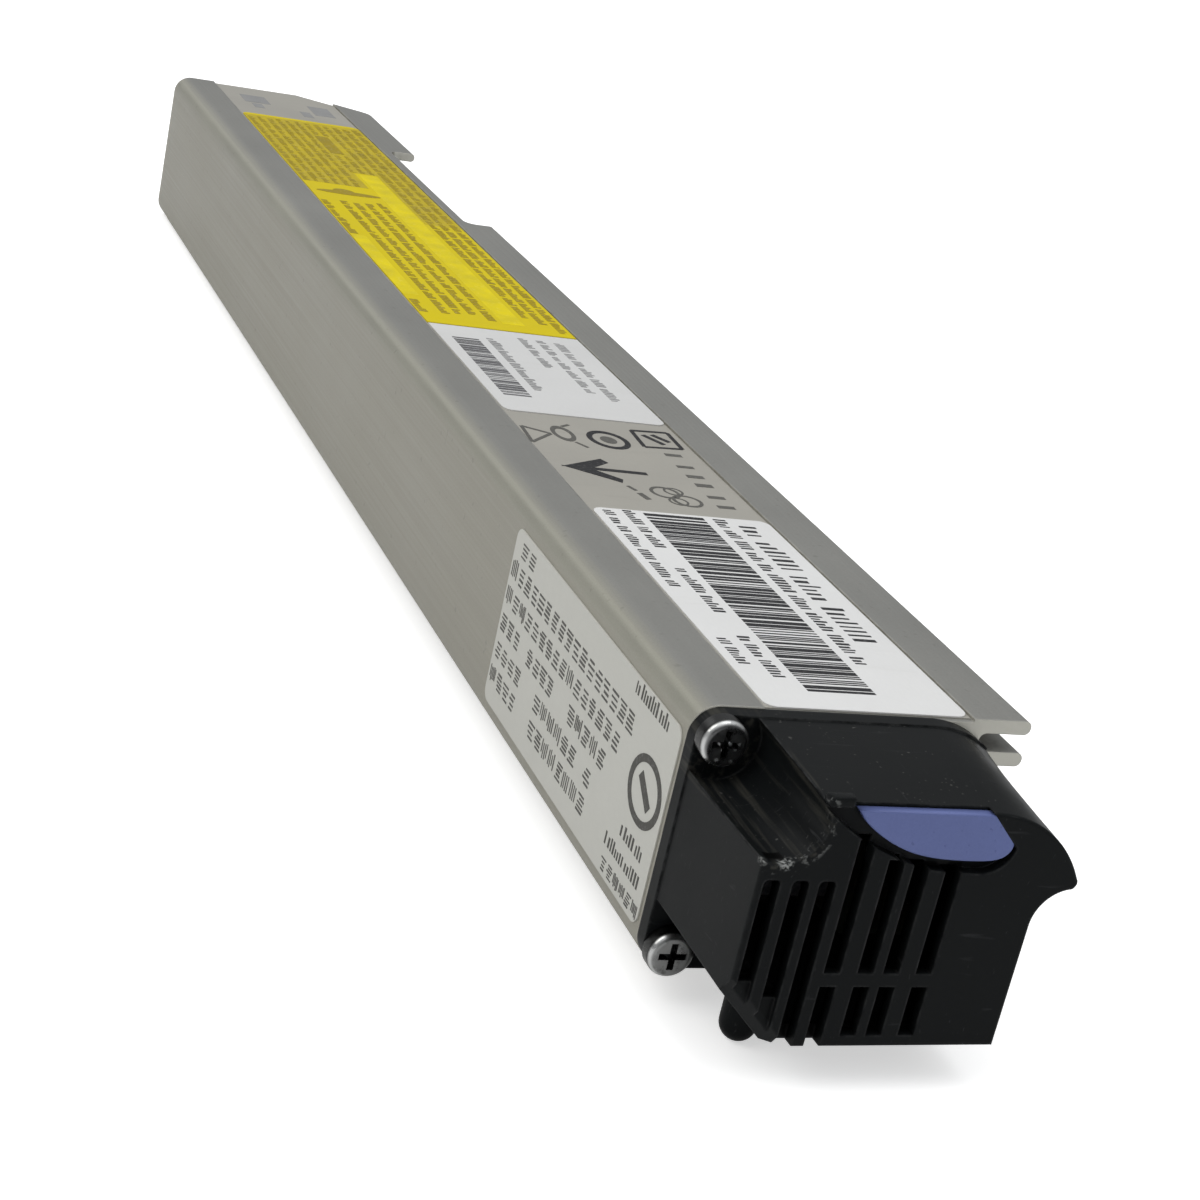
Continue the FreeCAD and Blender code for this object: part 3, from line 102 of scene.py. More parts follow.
class Nodes:
    """The nodes of a material or a world, with short names for the ones used here."""

    def __init__(self, owner):
        owner.use_nodes = True
        self.tree = owner.node_tree
        self.tree.nodes.clear()

    def new(self, kind):
        return self.tree.nodes.new("ShaderNode" + kind)

    def put(self, value, socket):
        """Join another node's output to a socket, or set the socket to a plain value."""
        if isinstance(value, bpy.types.NodeSocket):
            self.tree.links.new(value, socket)
        else:
            socket.default_value = value

    def math(self, kind, one, two=0.0, three=0.0):
        node = self.new("Math")
        node.operation = kind
        for value, socket in zip((one, two, three), node.inputs):
            self.put(value, socket)
        return node.outputs[0]

    def times(self, one, two):
        return self.math("MULTIPLY", one, two)

    def span(self, value, low, high, to_low=0.0, to_high=1.0, curve="LINEAR"):
        """Bring a value from one range to another and clamp it."""
        node = self.new("MapRange")
        node.interpolation_type = curve
        for entry, socket in zip((value, low, high, to_low, to_high), node.inputs):
            self.put(entry, socket)
        return node.outputs[0]

    def within(self, value, low, high):
        """1 where a value lies in a range, 0 elsewhere."""
        return self.math("COMPARE", value, (low + high) / 2, (high - low) / 2)

    def axes_of(self, vector):
        node = self.new("SeparateXYZ")
        self.put(vector, node.inputs[0])
        return node.outputs


class Surface(Nodes):
    """A material with one shader. Places are object coordinates in metres."""

    def __init__(self, name):
        self.material = bpy.data.materials.new(name)
        super().__init__(self.material)
        output = self.new("OutputMaterial")
        self.shader = self.new("BsdfPrincipled")
        self.put(self.shader.outputs[0], output.inputs["Surface"])
        self.place = self.new("TexCoord").outputs["Object"]

    def stretched(self, scale, turn=(0, 0, 0)):
        """The place multiplied by one scale, or by one for each axis."""
        mapping = self.new("Mapping")
        self.put(self.place, mapping.inputs["Vector"])
        mapping.inputs["Scale"].default_value = scale if isinstance(scale, tuple) else (scale,) * 3
        mapping.inputs["Rotation"].default_value = turn
        return mapping.outputs[0]

    def noise(self, scale, detail=3.0, rough=0.5, turn=(0, 0, 0)):
        node = self.new("TexNoise")
        self.put(self.stretched(scale, turn), node.inputs["Vector"])
        node.inputs["Scale"].default_value = 1
        node.inputs["Detail"].default_value = detail
        node.inputs["Roughness"].default_value = rough
        return node.outputs["Fac"]

    def cells(self, scale, feature="F1"):
        node = self.new("TexVoronoi")
        node.feature = feature
        self.put(self.stretched(scale), node.inputs["Vector"])
        node.inputs["Scale"].default_value = 1
        return node.outputs["Distance"]

    def patches(self, scale, low, high, **noise):
        """Noise cut to patches: 0 up to the low value and 1 from the high one on."""
        return self.span(self.noise(scale, **noise), low, high)

    def from_noise(self, value, low, high):
        """Bring the middle of the range of a noise to another range."""
        return self.span(value, NOISE_LOW, NOISE_HIGH, low, high)

    def blend(self, fac, one, two, kind="MIX"):
        node = self.new("Mix")
        node.data_type = "RGBA"
        node.blend_type = kind
        self.put(fac, node.inputs["Factor"])
        for entry, socket in zip((one, two), node.inputs[COLOUR_INPUTS]):
            self.put(colour(entry), socket)
        return node.outputs[COLOUR_OUTPUT]

    def cover(self, base, mask, amount, tint):
        """Lay a tint over a colour where the mask is 1, as thick as the amount."""
        return self.blend(self.times(mask, amount), base, tint)

    def shade(self, base, value, low, high):
        """Make a colour darker or lighter as a value goes from 0 to 1."""
        grey = self.span(value, 0.0, 1.0, low, high)
        joined = self.new("CombineColor")
        for socket in joined.inputs[:3]:
            self.put(grey, socket)
        return self.blend(1.0, base, joined.outputs[0], "MULTIPLY")

    def reach(self, x, z, line):
        """Distance in metres from a line along the tube, given in millimetres across and up."""
        across, _, up = at(line[0], 0, line[1])
        squares = [self.math("POWER", self.math("SUBTRACT", value, middle), 2.0)
                   for value, middle in ((x, across), (z, up))]
        return self.math("SQRT", self.math("ADD", *squares))

    def near(self, x, z, line, size):
        """1 up to one distance in metres from a line along the tube, 0 from the other on."""
        return self.span(self.reach(x, z, line), size[1], size[0])

    def backward(self, y, start, end):
        """0 to 1 as y goes from one place along the tube to another, in millimetres."""
        return self.span(y, at(0, start, 0)[1], at(0, end, 0)[1])

    def facing(self, axis):
        """The surface normal along an axis: 1 where it faces that way."""
        return self.axes_of(self.new("NewGeometry").outputs["Normal"])[axis]

    def bevel(self, radius):
        """The surface normal that rounded outer edges would have."""
        node = self.new("Bevel")
        node.samples = BEVEL_SAMPLES
        node.inputs["Radius"].default_value = radius
        return node.outputs[0]

    def edges(self, radius, low=0.02, high=0.25):
        """1 along outer edges, from the difference that a bevel would make."""
        dot = self.new("VectorMath")
        dot.operation = "DOT_PRODUCT"
        self.put(self.bevel(radius), dot.inputs[0])
        self.put(self.new("NewGeometry").outputs["Normal"], dot.inputs[1])
        return self.span(self.math("SUBTRACT", 1.0, dot.outputs["Value"]), low, high)

    def finish(self, base, rough, height, depth, strength, metal=0.0, specular=0.5, coat=0.0,
               rounded=0.0):
        """Give the shader its values and its relief, and return the material."""
        self.put(colour(base), self.shader.inputs["Base Color"])
        self.put(rough, self.shader.inputs["Roughness"])
        self.shader.inputs["Metallic"].default_value = metal
        self.shader.inputs["Specular IOR Level"].default_value = specular
        self.shader.inputs["Coat Weight"].default_value = coat
        self.shader.inputs["Coat Roughness"].default_value = COAT_ROUGHNESS
        bump = self.new("Bump")
        bump.inputs["Strength"].default_value = strength
        bump.inputs["Distance"].default_value = depth
        self.put(height, bump.inputs["Height"])
        self.put(bump.outputs[0], self.shader.inputs["Normal"])
        if rounded:
            self.put(self.bevel(rounded), bump.inputs["Normal"])
        return self.material


# Colours of the tube and of the cap with its pad and screws

# Painted light: the tube's side and top tones differ for how light falls on them.
ALLOY_SIDE_AS_LIT = (0.292, 0.281, 0.238)
ALLOY_TOP_AS_LIT = (0.274, 0.272, 0.255)
# Painted highlight on the tube's rounded upper corners.
ALLOY_CORNER_HIGHLIGHT = (0.325, 0.319, 0.270)
ALLOY_SPECK = (0.17, 0.165, 0.145)
# Faces across the tube at its ends: bare metal of the cut, made lighter also as painted light.
ALLOY_CUT_ENDS_LIT = (0.60, 0.59, 0.53)
# Worn edges of the tube, lighter also as a painted highlight along them.
ALLOY_EDGE_WEAR_AND_HIGHLIGHT = (0.60, 0.59, 0.54)
BLACK = (0.0062, 0.0070, 0.0074)
BLACK_SCRATCH = (0.10, 0.10, 0.105)
# Worn edges of the cap, lighter also as a painted highlight along its rims.
BLACK_EDGE_WEAR_AND_HIGHLIGHT = (0.060, 0.062, 0.062)
# Drag wear in the upper groove, lighter also as a painted reflection of its streaky sheen.
BLACK_DRAG_AND_SHEEN = (0.055, 0.053, 0.045)
# Scuffs and painted highlights on the front lip of the upper groove.
BLACK_LIP_SCUFF_AND_HIGHLIGHT = (0.40, 0.41, 0.40)
BLACK_DUST = (0.42, 0.41, 0.38)
# Painted shade inside the slots.
BLACK_SLOT_SHADE = (0.0006, 0.0006, 0.0006)
PAD_BLUE = (0.118, 0.150, 0.345)
PAD_SPECK = (0.05, 0.06, 0.15)
PAD_WORN = (0.20, 0.235, 0.45)
ZINC = (0.50, 0.505, 0.50)
SCREW_BASE = (0.26, 0.263, 0.26)
# Painted highlight round the rims of the screw heads.
SCREW_CREST_HIGHLIGHT = (0.55, 0.555, 0.55)
# Painted shade on the face of the upper screw.
SCREW_FACE_SHADE = (0.06, 0.06, 0.065)
# Painted shade on the sides of the screw heads, behind the rim.
SCREW_BEHIND_SHADE = (0.018, 0.018, 0.018)
# Painted glints on the face of the upper screw.
SCREW_GLINT = (0.95, 0.96, 0.97)
SCREW_DIRT = (0.08, 0.08, 0.075)

# Lines along the tube, in millimetres across and up: the axes of the cap's screws,
# two painted highlights on the front lip of the upper groove, and painted glints
# round the recess of the upper screw. The groove lies round the upper screw's axis.
# For the groove, its lip and each mark: the distances from its line, in metres, at
# which it starts to fade and has faded out.

UPPER_SCREW = (2.8, 24.8)
LOWER_SCREW = (2.8, 2.8)
BIG_LIP_HIGHLIGHT = (3.5, 20.8)
SMALL_LIP_HIGHLIGHT = (1.1, 21.0)
GLINTS = ((2.2, 24.7), (1.75, 23.7), (3.25, 23.55), (3.4, 24.9))
GROOVE_WALL = (0.0045, 0.0047)
GROOVE_LIP = (0.0049, 0.0052)
BIG_LIP_HIGHLIGHT_SIZE = (0.0003, 0.0009)
SMALL_LIP_HIGHLIGHT_SIZE = (0.0002, 0.0007)
GLINT_SIZE = (0.00014, 0.00026)

# The box that holds the cap's slots, where shade is painted into them, in millimetres,
# and the least sum of across and up in metres that is clear of the slanted lower corner

SLOTS_LOW = (1.7, -18.1, 1.8)
SLOTS_HIGH = (22.2, -15.9, 20.8)
PAST_SLANT = 0.0104

# Height in metres that parts the upper screw from the lower one, and the rings
# that turning left on both, in radians to the metre

BETWEEN_SCREWS = 0.0138
TURNING = 21000.0


def alloy():
    """Natural matt extrusion: drawn lines along its length, specks, worn edges that also carry a
    painted highlight, top and side tones and a corner highlight painted as light, and bare cut
    ends made lighter as painted light.
    """
    s = Surface("tube_alloy")
    lines = s.noise((2600, 9, 2600), detail=4)
    wide = s.noise((260, 3, 260), detail=2)
    cloud = s.noise(38, detail=3, rough=0.6)
    grain = s.noise(5200, detail=2)
    specks = s.patches(900, 0.70, 0.78, detail=1)
    upward = s.facing("Z")
    # Painted light: sides and top get their own tones for how they are lit.
    base = s.blend(s.span(upward, 0.75, 0.98), ALLOY_SIDE_AS_LIT, ALLOY_TOP_AS_LIT)
    # Painted highlight: faces between side and top, on the rounded corner, are lighter.
    corner_highlight = s.times(s.span(upward, 0.10, 0.35), s.span(upward, 0.97, 0.75))
    base = s.blend(corner_highlight, base, ALLOY_CORNER_HIGHLIGHT)
    base = s.shade(base, cloud, 0.90, 1.08)
    base = s.shade(base, wide, 0.95, 1.05)
    base = s.shade(base, grain, 0.90, 1.10)
    base = s.cover(base, specks, 0.35, ALLOY_SPECK)
    # Faces across the tube: bare cut metal, lighter also as painted light.
    cut_ends_lit = s.span(s.math("ABSOLUTE", s.facing("Y")), 0.80, 0.95)
    base = s.cover(base, cut_ends_lit, 0.9, ALLOY_CUT_ENDS_LIT)
    # Worn edges, lighter also as a painted highlight along them.
    worn_edges_and_highlight = s.times(s.edges(0.0005), s.patches(420, 0.35, 0.62, detail=4))
    base = s.cover(base, worn_edges_and_highlight, 0.55, ALLOY_EDGE_WEAR_AND_HIGHLIGHT)
    rough = s.span(s.math("ADD", lines, cloud), 0.7, 1.3, 0.42, 0.56)
    height = s.math("ADD", lines, s.times(grain, 0.5))
    return s.finish(base, rough, height, 0.00001, 0.35, metal=0.55, rounded=0.00025)


def black_moulding(name, base_rough=0.34):
    """Black moulded plastic: fine texture, hairline scratches and dust, worn edges that also
    carry a painted highlight, drag lines in the upper groove that also paint its streaky
    reflection, scuffs and painted highlights on its lip, and painted shade in the slots."""
    s = Surface(name)
    grain = s.noise(3400, detail=2)
    cloud = s.noise(60, detail=4, rough=0.6)
    scratches = s.math(
        "MAXIMUM",
        s.patches((150, 4200, 900), 0.68, 0.74, detail=2, turn=(0.2, 0.5, 0.5)),
        s.patches((4000, 170, 1200), 0.70, 0.76, detail=2, turn=(0.6, 0.1, 0.3)))
    base = s.shade(BLACK, cloud, 0.8, 1.25)
    base = s.cover(base, scratches, 0.14, BLACK_SCRATCH)
    # Worn edges, lighter also as a painted highlight along the rims.
    worn_edges_and_highlight = s.times(s.edges(0.0004, 0.02, 0.2), s.patches(700, 0.38, 0.62, detail=3))
    base = s.cover(base, worn_edges_and_highlight, 0.55, BLACK_EDGE_WEAR_AND_HIGHLIGHT)

    x, y, z = s.axes_of(s.place)
    in_groove = s.near(x, z, UPPER_SCREW, GROOVE_WALL)
    # Lighter streaks along the groove: drag wear and a painted reflection of the groove's sheen.
    drags_and_sheen = s.patches((1300, 75, 1300), 0.50, 0.70, detail=3)
    base = s.cover(base, s.times(drags_and_sheen, in_groove), 0.55, BLACK_DRAG_AND_SHEEN)

    # The groove's front lip: scuffs, and two painted highlights.
    lip = s.times(s.backward(y, -16.9, -17.5), s.near(x, z, UPPER_SCREW, GROOVE_LIP))
    scuffs = s.times(s.patches(1500, 0.56, 0.66, detail=3), 0.25)
    lip_highlights = s.math("MAXIMUM", s.near(x, z, BIG_LIP_HIGHLIGHT, BIG_LIP_HIGHLIGHT_SIZE),
                   s.times(s.near(x, z, SMALL_LIP_HIGHLIGHT, SMALL_LIP_HIGHLIGHT_SIZE), 0.7))
    lip_highlights = s.times(lip_highlights, s.patches(2600, 0.42, 0.58, detail=2))
    base = s.cover(base, s.times(s.math("MAXIMUM", scuffs, lip_highlights), lip), 0.8, BLACK_LIP_SCUFF_AND_HIGHLIGHT)

    motes = s.patches(2300, 0.73, 0.79, detail=1, rough=0.3)
    base = s.cover(base, s.times(motes, s.span(s.facing("Z"), 0.2, 0.9)), 0.11, BLACK_DUST)

    # Painted shade: the walls inside the slots are made nearly black.
    slot_shade = s.backward(y, -17.75, -16.8)
    for value, low, high in zip((x, y, z), at(*SLOTS_LOW), at(*SLOTS_HIGH)):
        slot_shade = s.times(slot_shade, s.within(value, low, high))
    across = s.math("SUBTRACT", x, at(0, 0, 0)[0])
    slot_shade = s.times(slot_shade, s.math("GREATER_THAN", s.math("ADD", across, z), PAST_SLANT))
    base = s.blend(slot_shade, base, BLACK_SLOT_SHADE)

    rough = s.from_noise(cloud, base_rough - 0.07, base_rough + 0.09)
    rough = s.math("ADD", rough, s.times(scratches, 0.15))
    height = s.math("ADD", s.times(grain, 0.6), scratches)
    return s.finish(base, rough, height, 0.000012, 0.25, specular=0.06, rounded=0.00035)


def blue_pad():
    """Satin plastic with worn edges and a few dark specks."""
    s = Surface("pad_blue")
    cloud = s.noise(180, detail=3)
    grain = s.noise(4200, detail=2)
    base = s.shade(PAD_BLUE, cloud, 0.92, 1.08)
    base = s.shade(base, grain, 0.93, 1.07)
    base = s.cover(base, s.patches(1700, 0.70, 0.77, detail=1), 0.4, PAD_SPECK)
    base = s.cover(base, s.edges(0.0002, 0.03, 0.3), 0.35, PAD_WORN)
    return s.finish(base, s.from_noise(cloud, 0.36, 0.46), grain, 0.00001, 0.25,
                    specular=0.25, rounded=0.0002)


def zinc():
    """Zinc plated steel of the inner screws."""
    s = Surface("screw_zinc")
    cloud = s.noise(900, detail=3)
    base = s.shade(ZINC, cloud, 0.80, 1.12)
    return s.finish(base, s.from_noise(cloud, 0.24, 0.38), s.noise(3800, detail=2),
                    0.000004, 0.3, metal=1.0)


def cap_screws():
    """The same plate on the cap's screws: fine turning rings, a painted highlight round the rim,
    painted shade behind it, and on the upper screw a face darkened as painted shade, with painted
    glints."""
    s = Surface("cap_screws")
    x, y, z = s.axes_of(s.place)
    cloud = s.noise(900, detail=3)
    nearest = s.math("MINIMUM", s.reach(x, z, LOWER_SCREW), s.reach(x, z, UPPER_SCREW))
    rings = s.math("SINE", s.times(nearest, TURNING))
    base = s.shade(SCREW_BASE, cloud, 0.75, 1.2)
    toward_rear = s.facing("Y")
    # Painted highlight: a band of the rim, chosen by its facing, is made bright.
    crest_highlight = s.times(s.span(toward_rear, -0.25, -0.45), s.span(toward_rear, -0.92, -0.75))
    base = s.blend(crest_highlight, base, SCREW_CREST_HIGHLIGHT)
    # Painted shade: the face of the upper screw, deep in its groove, is darkened.
    upper = s.math("GREATER_THAN", z, BETWEEN_SCREWS)
    base = s.cover(base, s.times(s.span(toward_rear, -0.80, -0.95), upper), 0.6, SCREW_FACE_SHADE)
    # Painted shade on the sides of the heads, behind the rim.
    base = s.cover(base, s.backward(y, -3.40, -3.10), 0.9, SCREW_BEHIND_SHADE)
    # Painted glints on the upper screw's face.
    glints = 0.0
    for line in GLINTS:
        glints = s.math("MAXIMUM", s.near(x, z, line, GLINT_SIZE), glints)
    base = s.blend(glints, base, SCREW_GLINT)
    base = s.cover(base, s.patches(1600, 0.58, 0.72, detail=2), 0.6, SCREW_DIRT)
    return s.finish(base, s.from_noise(cloud, 0.24, 0.38), rings, 0.000002, 0.2, metal=1.0)


def label_film(name, tint, rough=0.5, stain=(0.42, 0.40, 0.36), amount=0.12, metal=0.0,
               specular=0.2):
    """Printed label: faint weave of fibres, soft marks and grubby edges."""
    s = Surface(name)
    cloud = s.noise(70, detail=4, rough=0.6)
    fibre = s.noise((2400, 900, 2400), detail=3)
    base = s.shade(tint, cloud, 0.955, 1.03)
    base = s.shade(base, fibre, 0.975, 1.025)
    rubbed = s.patches((60, 420, 60), 0.56, 0.80, detail=4, rough=0.7)
    base = s.cover(base, rubbed, amount, stain)
    base = s.cover(base, s.edges(0.0003, 0.01, 0.2), 0.35, stain)
    height = s.math("ADD", s.times(fibre, 0.25), s.noise(150, detail=2))
    return s.finish(base, s.from_noise(cloud, rough - 0.06, rough + 0.08), height,
                    0.00003, 0.25, metal=metal, specular=specular)


def ink(name, tint, wear):
    """Print: nearly even, thinner where the label has been rubbed."""
    s = Surface(name)
    thin = s.patches(2600, 0.56, 0.72, detail=3)
    cloud = s.noise(300, detail=2)
    base = s.shade(tint, cloud, 0.8, 1.3)
    lighter = tuple(min(1.0, part + 0.16) for part in tint)
    base = s.cover(base, thin, wear, lighter)
    return s.finish(base, s.from_noise(cloud, 0.42, 0.56), thin, 0.000004, 0.2, specular=0.1)


def plain(name, tint, rough, metal=0.0, grain=2600, depth=0.00001, specks=None, coat=0.0):
    """Surfaces inside and behind: mottled colour, grain and, on some, a few specks."""
    s = Surface(name)
    cloud = s.noise(110, detail=4, rough=0.6)
    fine = s.noise(grain, detail=3)
    base = s.shade(tint, cloud, 0.90, 1.10)
    base = s.shade(base, fine, 0.95, 1.05)
    if specks:
        base = s.cover(base, s.patches(1500, 0.68, 0.75, detail=1), 0.5, specks)
    return s.finish(base, s.from_noise(cloud, rough - 0.06, rough + 0.08), fine, depth, 0.35,
                    metal=metal, coat=coat)


def foam(name):
    """Closed-cell foam: small bubbles."""
    s = Surface(name)
    bubbles = s.cells(1900)
    cloud = s.noise(200, detail=3)
    base = s.shade((0.075, 0.075, 0.08), bubbles, 0.55, 1.6)
    return s.finish(base, s.from_noise(cloud, 0.80, 0.95), bubbles, 0.00012, 0.7)


def board():
    """Green solder mask over faint copper tracks, with bare edges."""
    s = Surface("board_green")
    track = s.span(s.cells((900, 260, 10), feature="DISTANCE_TO_EDGE"), 0.06, 0.10)
    cloud = s.noise(240, detail=3)
    base = s.blend(track, (0.012, 0.085, 0.036), (0.022, 0.160, 0.070))
    base = s.shade(base, cloud, 0.88, 1.12)
    edge = s.math("SUBTRACT", 1.0, s.math("ABSOLUTE", s.facing("Z")))
    base = s.blend(s.span(edge, 0.5, 0.8), base, (0.32, 0.30, 0.16))
    return s.finish(base, s.from_noise(cloud, 0.26, 0.38), track, 0.00003, 0.4)


def dress():
    """Give every node of the frame its material: its slot's, but for two nodes."""
    slots = {
        "tube_alloy": alloy(),
        "cap_black": black_moulding("cap_black"),
        "pad_blue": blue_pad(),
        "screw_zinc": zinc(),
        "label_silver": label_film("label_silver", (0.40, 0.385, 0.345), 0.42, amount=0.2,
                                   stain=(0.26, 0.25, 0.22), metal=0.25),
        "label_white": label_film("label_white", (0.70, 0.70, 0.695)),
        "label_yellow": label_film("label_yellow", (0.64, 0.515, 0.006),
                                   stain=(0.42, 0.33, 0.02), specular=0.08),
        "label_grey": label_film("label_grey", (0.515, 0.513, 0.475)),
        "cell_wrap": plain("cell_wrap", (0.035, 0.13, 0.30), 0.24, coat=0.4, grain=700),
        "ring_fibre": plain("ring_fibre", (0.70, 0.68, 0.60), 0.75, depth=0.00003),
        "shell_plastic": plain("shell_plastic", (0.055, 0.055, 0.06), 0.42),
        "strip_nickel": plain("strip_nickel", (0.66, 0.645, 0.59), 0.28, metal=1.0,
                              grain=(130, 2600, 2600)),
        "foam_grey": foam("foam_grey"),
        "board_green": board(),
        "carrier_plastic": plain("carrier_plastic", (0.50, 0.49, 0.45), 0.45),
        "chip_black": plain("chip_black", (0.022, 0.022, 0.023), 0.55, depth=0.00002),
        "part_ceramic": plain("part_ceramic", (0.42, 0.31, 0.18), 0.5),
        "part_white": plain("part_white", (0.70, 0.68, 0.62), 0.4),
        "connector_ivory": plain("connector_ivory", (0.66, 0.61, 0.49), 0.38,
                                 specks=(0.40, 0.36, 0.28)),
        "contact_gold": plain("contact_gold", (0.83, 0.60, 0.22), 0.22, metal=1.0),
        "lead_black": plain("lead_black", (0.020, 0.020, 0.021), 0.42),
        "lead_red": plain("lead_red", (0.45, 0.018, 0.016), 0.40),
        "lead_white": plain("lead_white", (0.66, 0.66, 0.63), 0.42),
    }
    special = {
        "front_screws": cap_screws(),
        # Painted shade: the rear white label is a darker copy of the white label, for how it is
        # lit.
        "rear_white_label": label_film("rear_label_white_shaded", (0.62, 0.62, 0.615)),
    }
    of_node = {part["node"]: part["material_slot"] for part in frame["record"]["subparts"]}
    for name, item in nodes.items():
        item.data.materials.clear()
        item.data.materials.append(special.get(name) or slots[of_node[name]])


# Closed meshes

def row(first, count):
    return [first + i for i in range(count)]


def walls(first, count):
    """Four-sided faces between two closed rows of points that follow each other."""
    faces = []
    for i in range(count):
        j = (i + 1) % count
        faces.append([first + i, first + j, first + count + j, first + count + i])
    return faces


def solid(name, points, faces, work=None):
    """A closed mesh in the scene, its faces turned outward, then worked on if need be."""
    mesh = bpy.data.meshes.new(name)
    mesh.from_pydata(points, [], faces)
    shape = bmesh.new()
    shape.from_mesh(mesh)
    bmesh.ops.recalc_face_normals(shape, faces=shape.faces)
    if work:
        work(shape)
    shape.to_mesh(mesh)
    shape.free()
    return put_in_scene(name, mesh)


# Printing on the labels: thin closed plates with plain outlines. Plates that follow
# each other differ a little in height, so that crossing ones don't lie in one plane.

PLATE_HEIGHT = 0.03
LEVELS = 11
LEVEL_STEP = 0.001
SUNK = 0.005
BASE_LABEL_TOP = 27.35
WHITE_LABEL_TOP = 27.49
SIDE_LABEL_OUT = 0.14

# What the random draws choose from: bars in a group, their width and how far they
# stop short, and for clusters the share of the pitch, of upright ones and the bars

SEED = 7
GROUP = (3, 8)
BAR_WIDTHS = (0.6, 1.3)
BAR_DROPS = (0.0, 0.0, 0.2, 0.35)
CLUSTER_SHARE = 0.86
UPRIGHT_SHARE = 0.3
CLUSTER_BARS = (4, 5)
CLUSTER_GAP = 0.02
CLUSTER_THICKNESS = (0.085, 0.125)


def plates(name, outlines, to_place, material, height=PLATE_HEIGHT):
    """Closed flat plates in one piece, one for each outline."""
    points = []
    faces = []
    for index, outline in enumerate(outlines):
        first = len(points)
        count = len(outline)
        above = height + LEVEL_STEP * (index % LEVELS)
        points += [to_place(u, v, 0.0) for u, v in outline]
        points += [to_place(u, v, above) for u, v in outline]
        faces += [row(first + count, count), row(first, count)[::-1]] + walls(first, count)
    piece = solid(name, points, faces)
    piece.data.materials.append(material)
    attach(piece, "root")


def on_base(across, along, up):
    """For outlines drawn as (across, along) on the silver label."""
    return at(across, along, BASE_LABEL_TOP - SUNK + up)


def on_top(across, along, up):
    """For outlines drawn as (across, along) on the white and yellow labels."""
    return at(across, along, WHITE_LABEL_TOP - SUNK + up)


def on_left(along, up, out):
    """For outlines drawn as (along, up) on the label of the left face."""
    return at(SUNK - SIDE_LABEL_OUT - out, along, up)


def bar(left, base, right, top):
    return [(left, base), (right, base), (right, top), (left, top)]


def words(rng, start, end, low, high, letter, gap, space, turned):
    """A line of small plain bars in groups, along the first axis or, turned, the second."""
    marks = []
    place = start
    size = high - low
    while place < end - letter:
        for _ in range(rng.randint(*GROUP)):
            width = letter * rng.uniform(*BAR_WIDTHS)
            if place + width > end:
                break
            drop = rng.choice(BAR_DROPS) * size
            marks.append((place, low, place + width, high - drop))
            place += width + gap
        place += space
    if turned:
        return [bar(a, b, c, d) for b, a, d, c in marks]
    return [bar(*mark) for mark in marks]


def all_words(rng, lines, turned=True):
    """Several lines of words, one for each entry of a table."""
    return [mark for line in lines for mark in words(rng, *line, turned)]


def clusters(rng, start, end, low, high, pitch, missing=()):
    """A line of square clusters, each of four or five parallel bars."""
    marks = []
    size = high - low
    width = pitch * CLUSTER_SHARE
    for i in range(int((end - start) / pitch)):
        if i in missing:
            continue
        left = start + i * pitch
        upright = rng.random() < UPRIGHT_SHARE
        lines = rng.choice(CLUSTER_BARS)
        for j in range(lines):
            short = rng.uniform(0.0, 0.3)
            near = j / lines + CLUSTER_GAP
            far = near + rng.uniform(*CLUSTER_THICKNESS)
            if upright:
                marks.append(bar(left + near * width, low + short * size,
                                 left + far * width, high - rng.uniform(0.0, 0.2) * size))
            else:
                marks.append(bar(left + short * width, low + near * size,
                                 left + width * rng.uniform(0.75, 1.0), low + far * size))
    return marks


def stripes(rng, start, end, low, high, thin=0.22, wide=0.75):
    """A field of bars side by side, drawn as (low to high, along)."""
    marks = []
    place = start
    while place < end:
        width = rng.choice((thin, thin, (thin + wide) / 2, wide))
        stop = min(place + width, end)
        marks.append(bar(low, place, high, stop))
        place = stop + rng.choice((thin, thin, wide * 0.6))
    return marks


def ring(across, along, outer, inner, parts=28, stretch=1.0):
    """A round or oval ring as a row of small four-sided plates."""
    marks = []
    for i in range(parts):
        a = 2 * math.pi * i / parts
        b = 2 * math.pi * (i + 1) / parts
        marks.append([(across + reach * math.cos(turn), along + reach * stretch * math.sin(turn))
                      for reach, turn in ((inner, a), (outer, a), (outer, b), (inner, b))])
    return marks


def disc(across, along, radius, parts=24, stretch=1.0):
    """A filled round or oval plate."""
    turns = [2 * math.pi * i / parts for i in range(parts)]
    return [[(across + radius * math.cos(turn), along + radius * stretch * math.sin(turn))
             for turn in turns]]


def stroke(start, end, width):
    """A plain bar from one point to another."""
    run = (end[0] - start[0], end[1] - start[1])
    half = width / 2 / math.hypot(*run)
    side = (-run[1] * half, run[0] * half)
    return [(start[0] + side[0], start[1] + side[1]), (start[0] - side[0], start[1] - side[1]),
            (end[0] - side[0], end[1] - side[1]), (end[0] + side[0], end[1] + side[1])]


def closed_strokes(points, width):
    """Bars from point to point and back to the first."""
    return [stroke(a, b, width) for a, b in zip(points, points[1:] + points[:1])]


# Ink colours, and how much of each has been rubbed thin

INKS = {
    "black": ((0.026, 0.026, 0.028), 0.35),
    "grey": ((0.105, 0.105, 0.110), 0.35),
    "faint": ((0.25, 0.25, 0.25), 0.35),
    "soft": ((0.070, 0.068, 0.062), 0.35),
    "small": ((0.085, 0.083, 0.076), 0.25),
    "dull": ((0.100, 0.098, 0.090), 0.35),
    "yellow_line": ((0.30, 0.225, 0.012), 0.6),
    "yellow_field": ((0.46, 0.36, 0.012), 0.5),
    "bright_yellow": ((0.65, 0.535, 0.004), 0.35),
}

# Lines of words in millimetres: start, end, low, high, bar, gap between bars and
# gap between groups. Those on top run along the tube, and low and high lie across it.

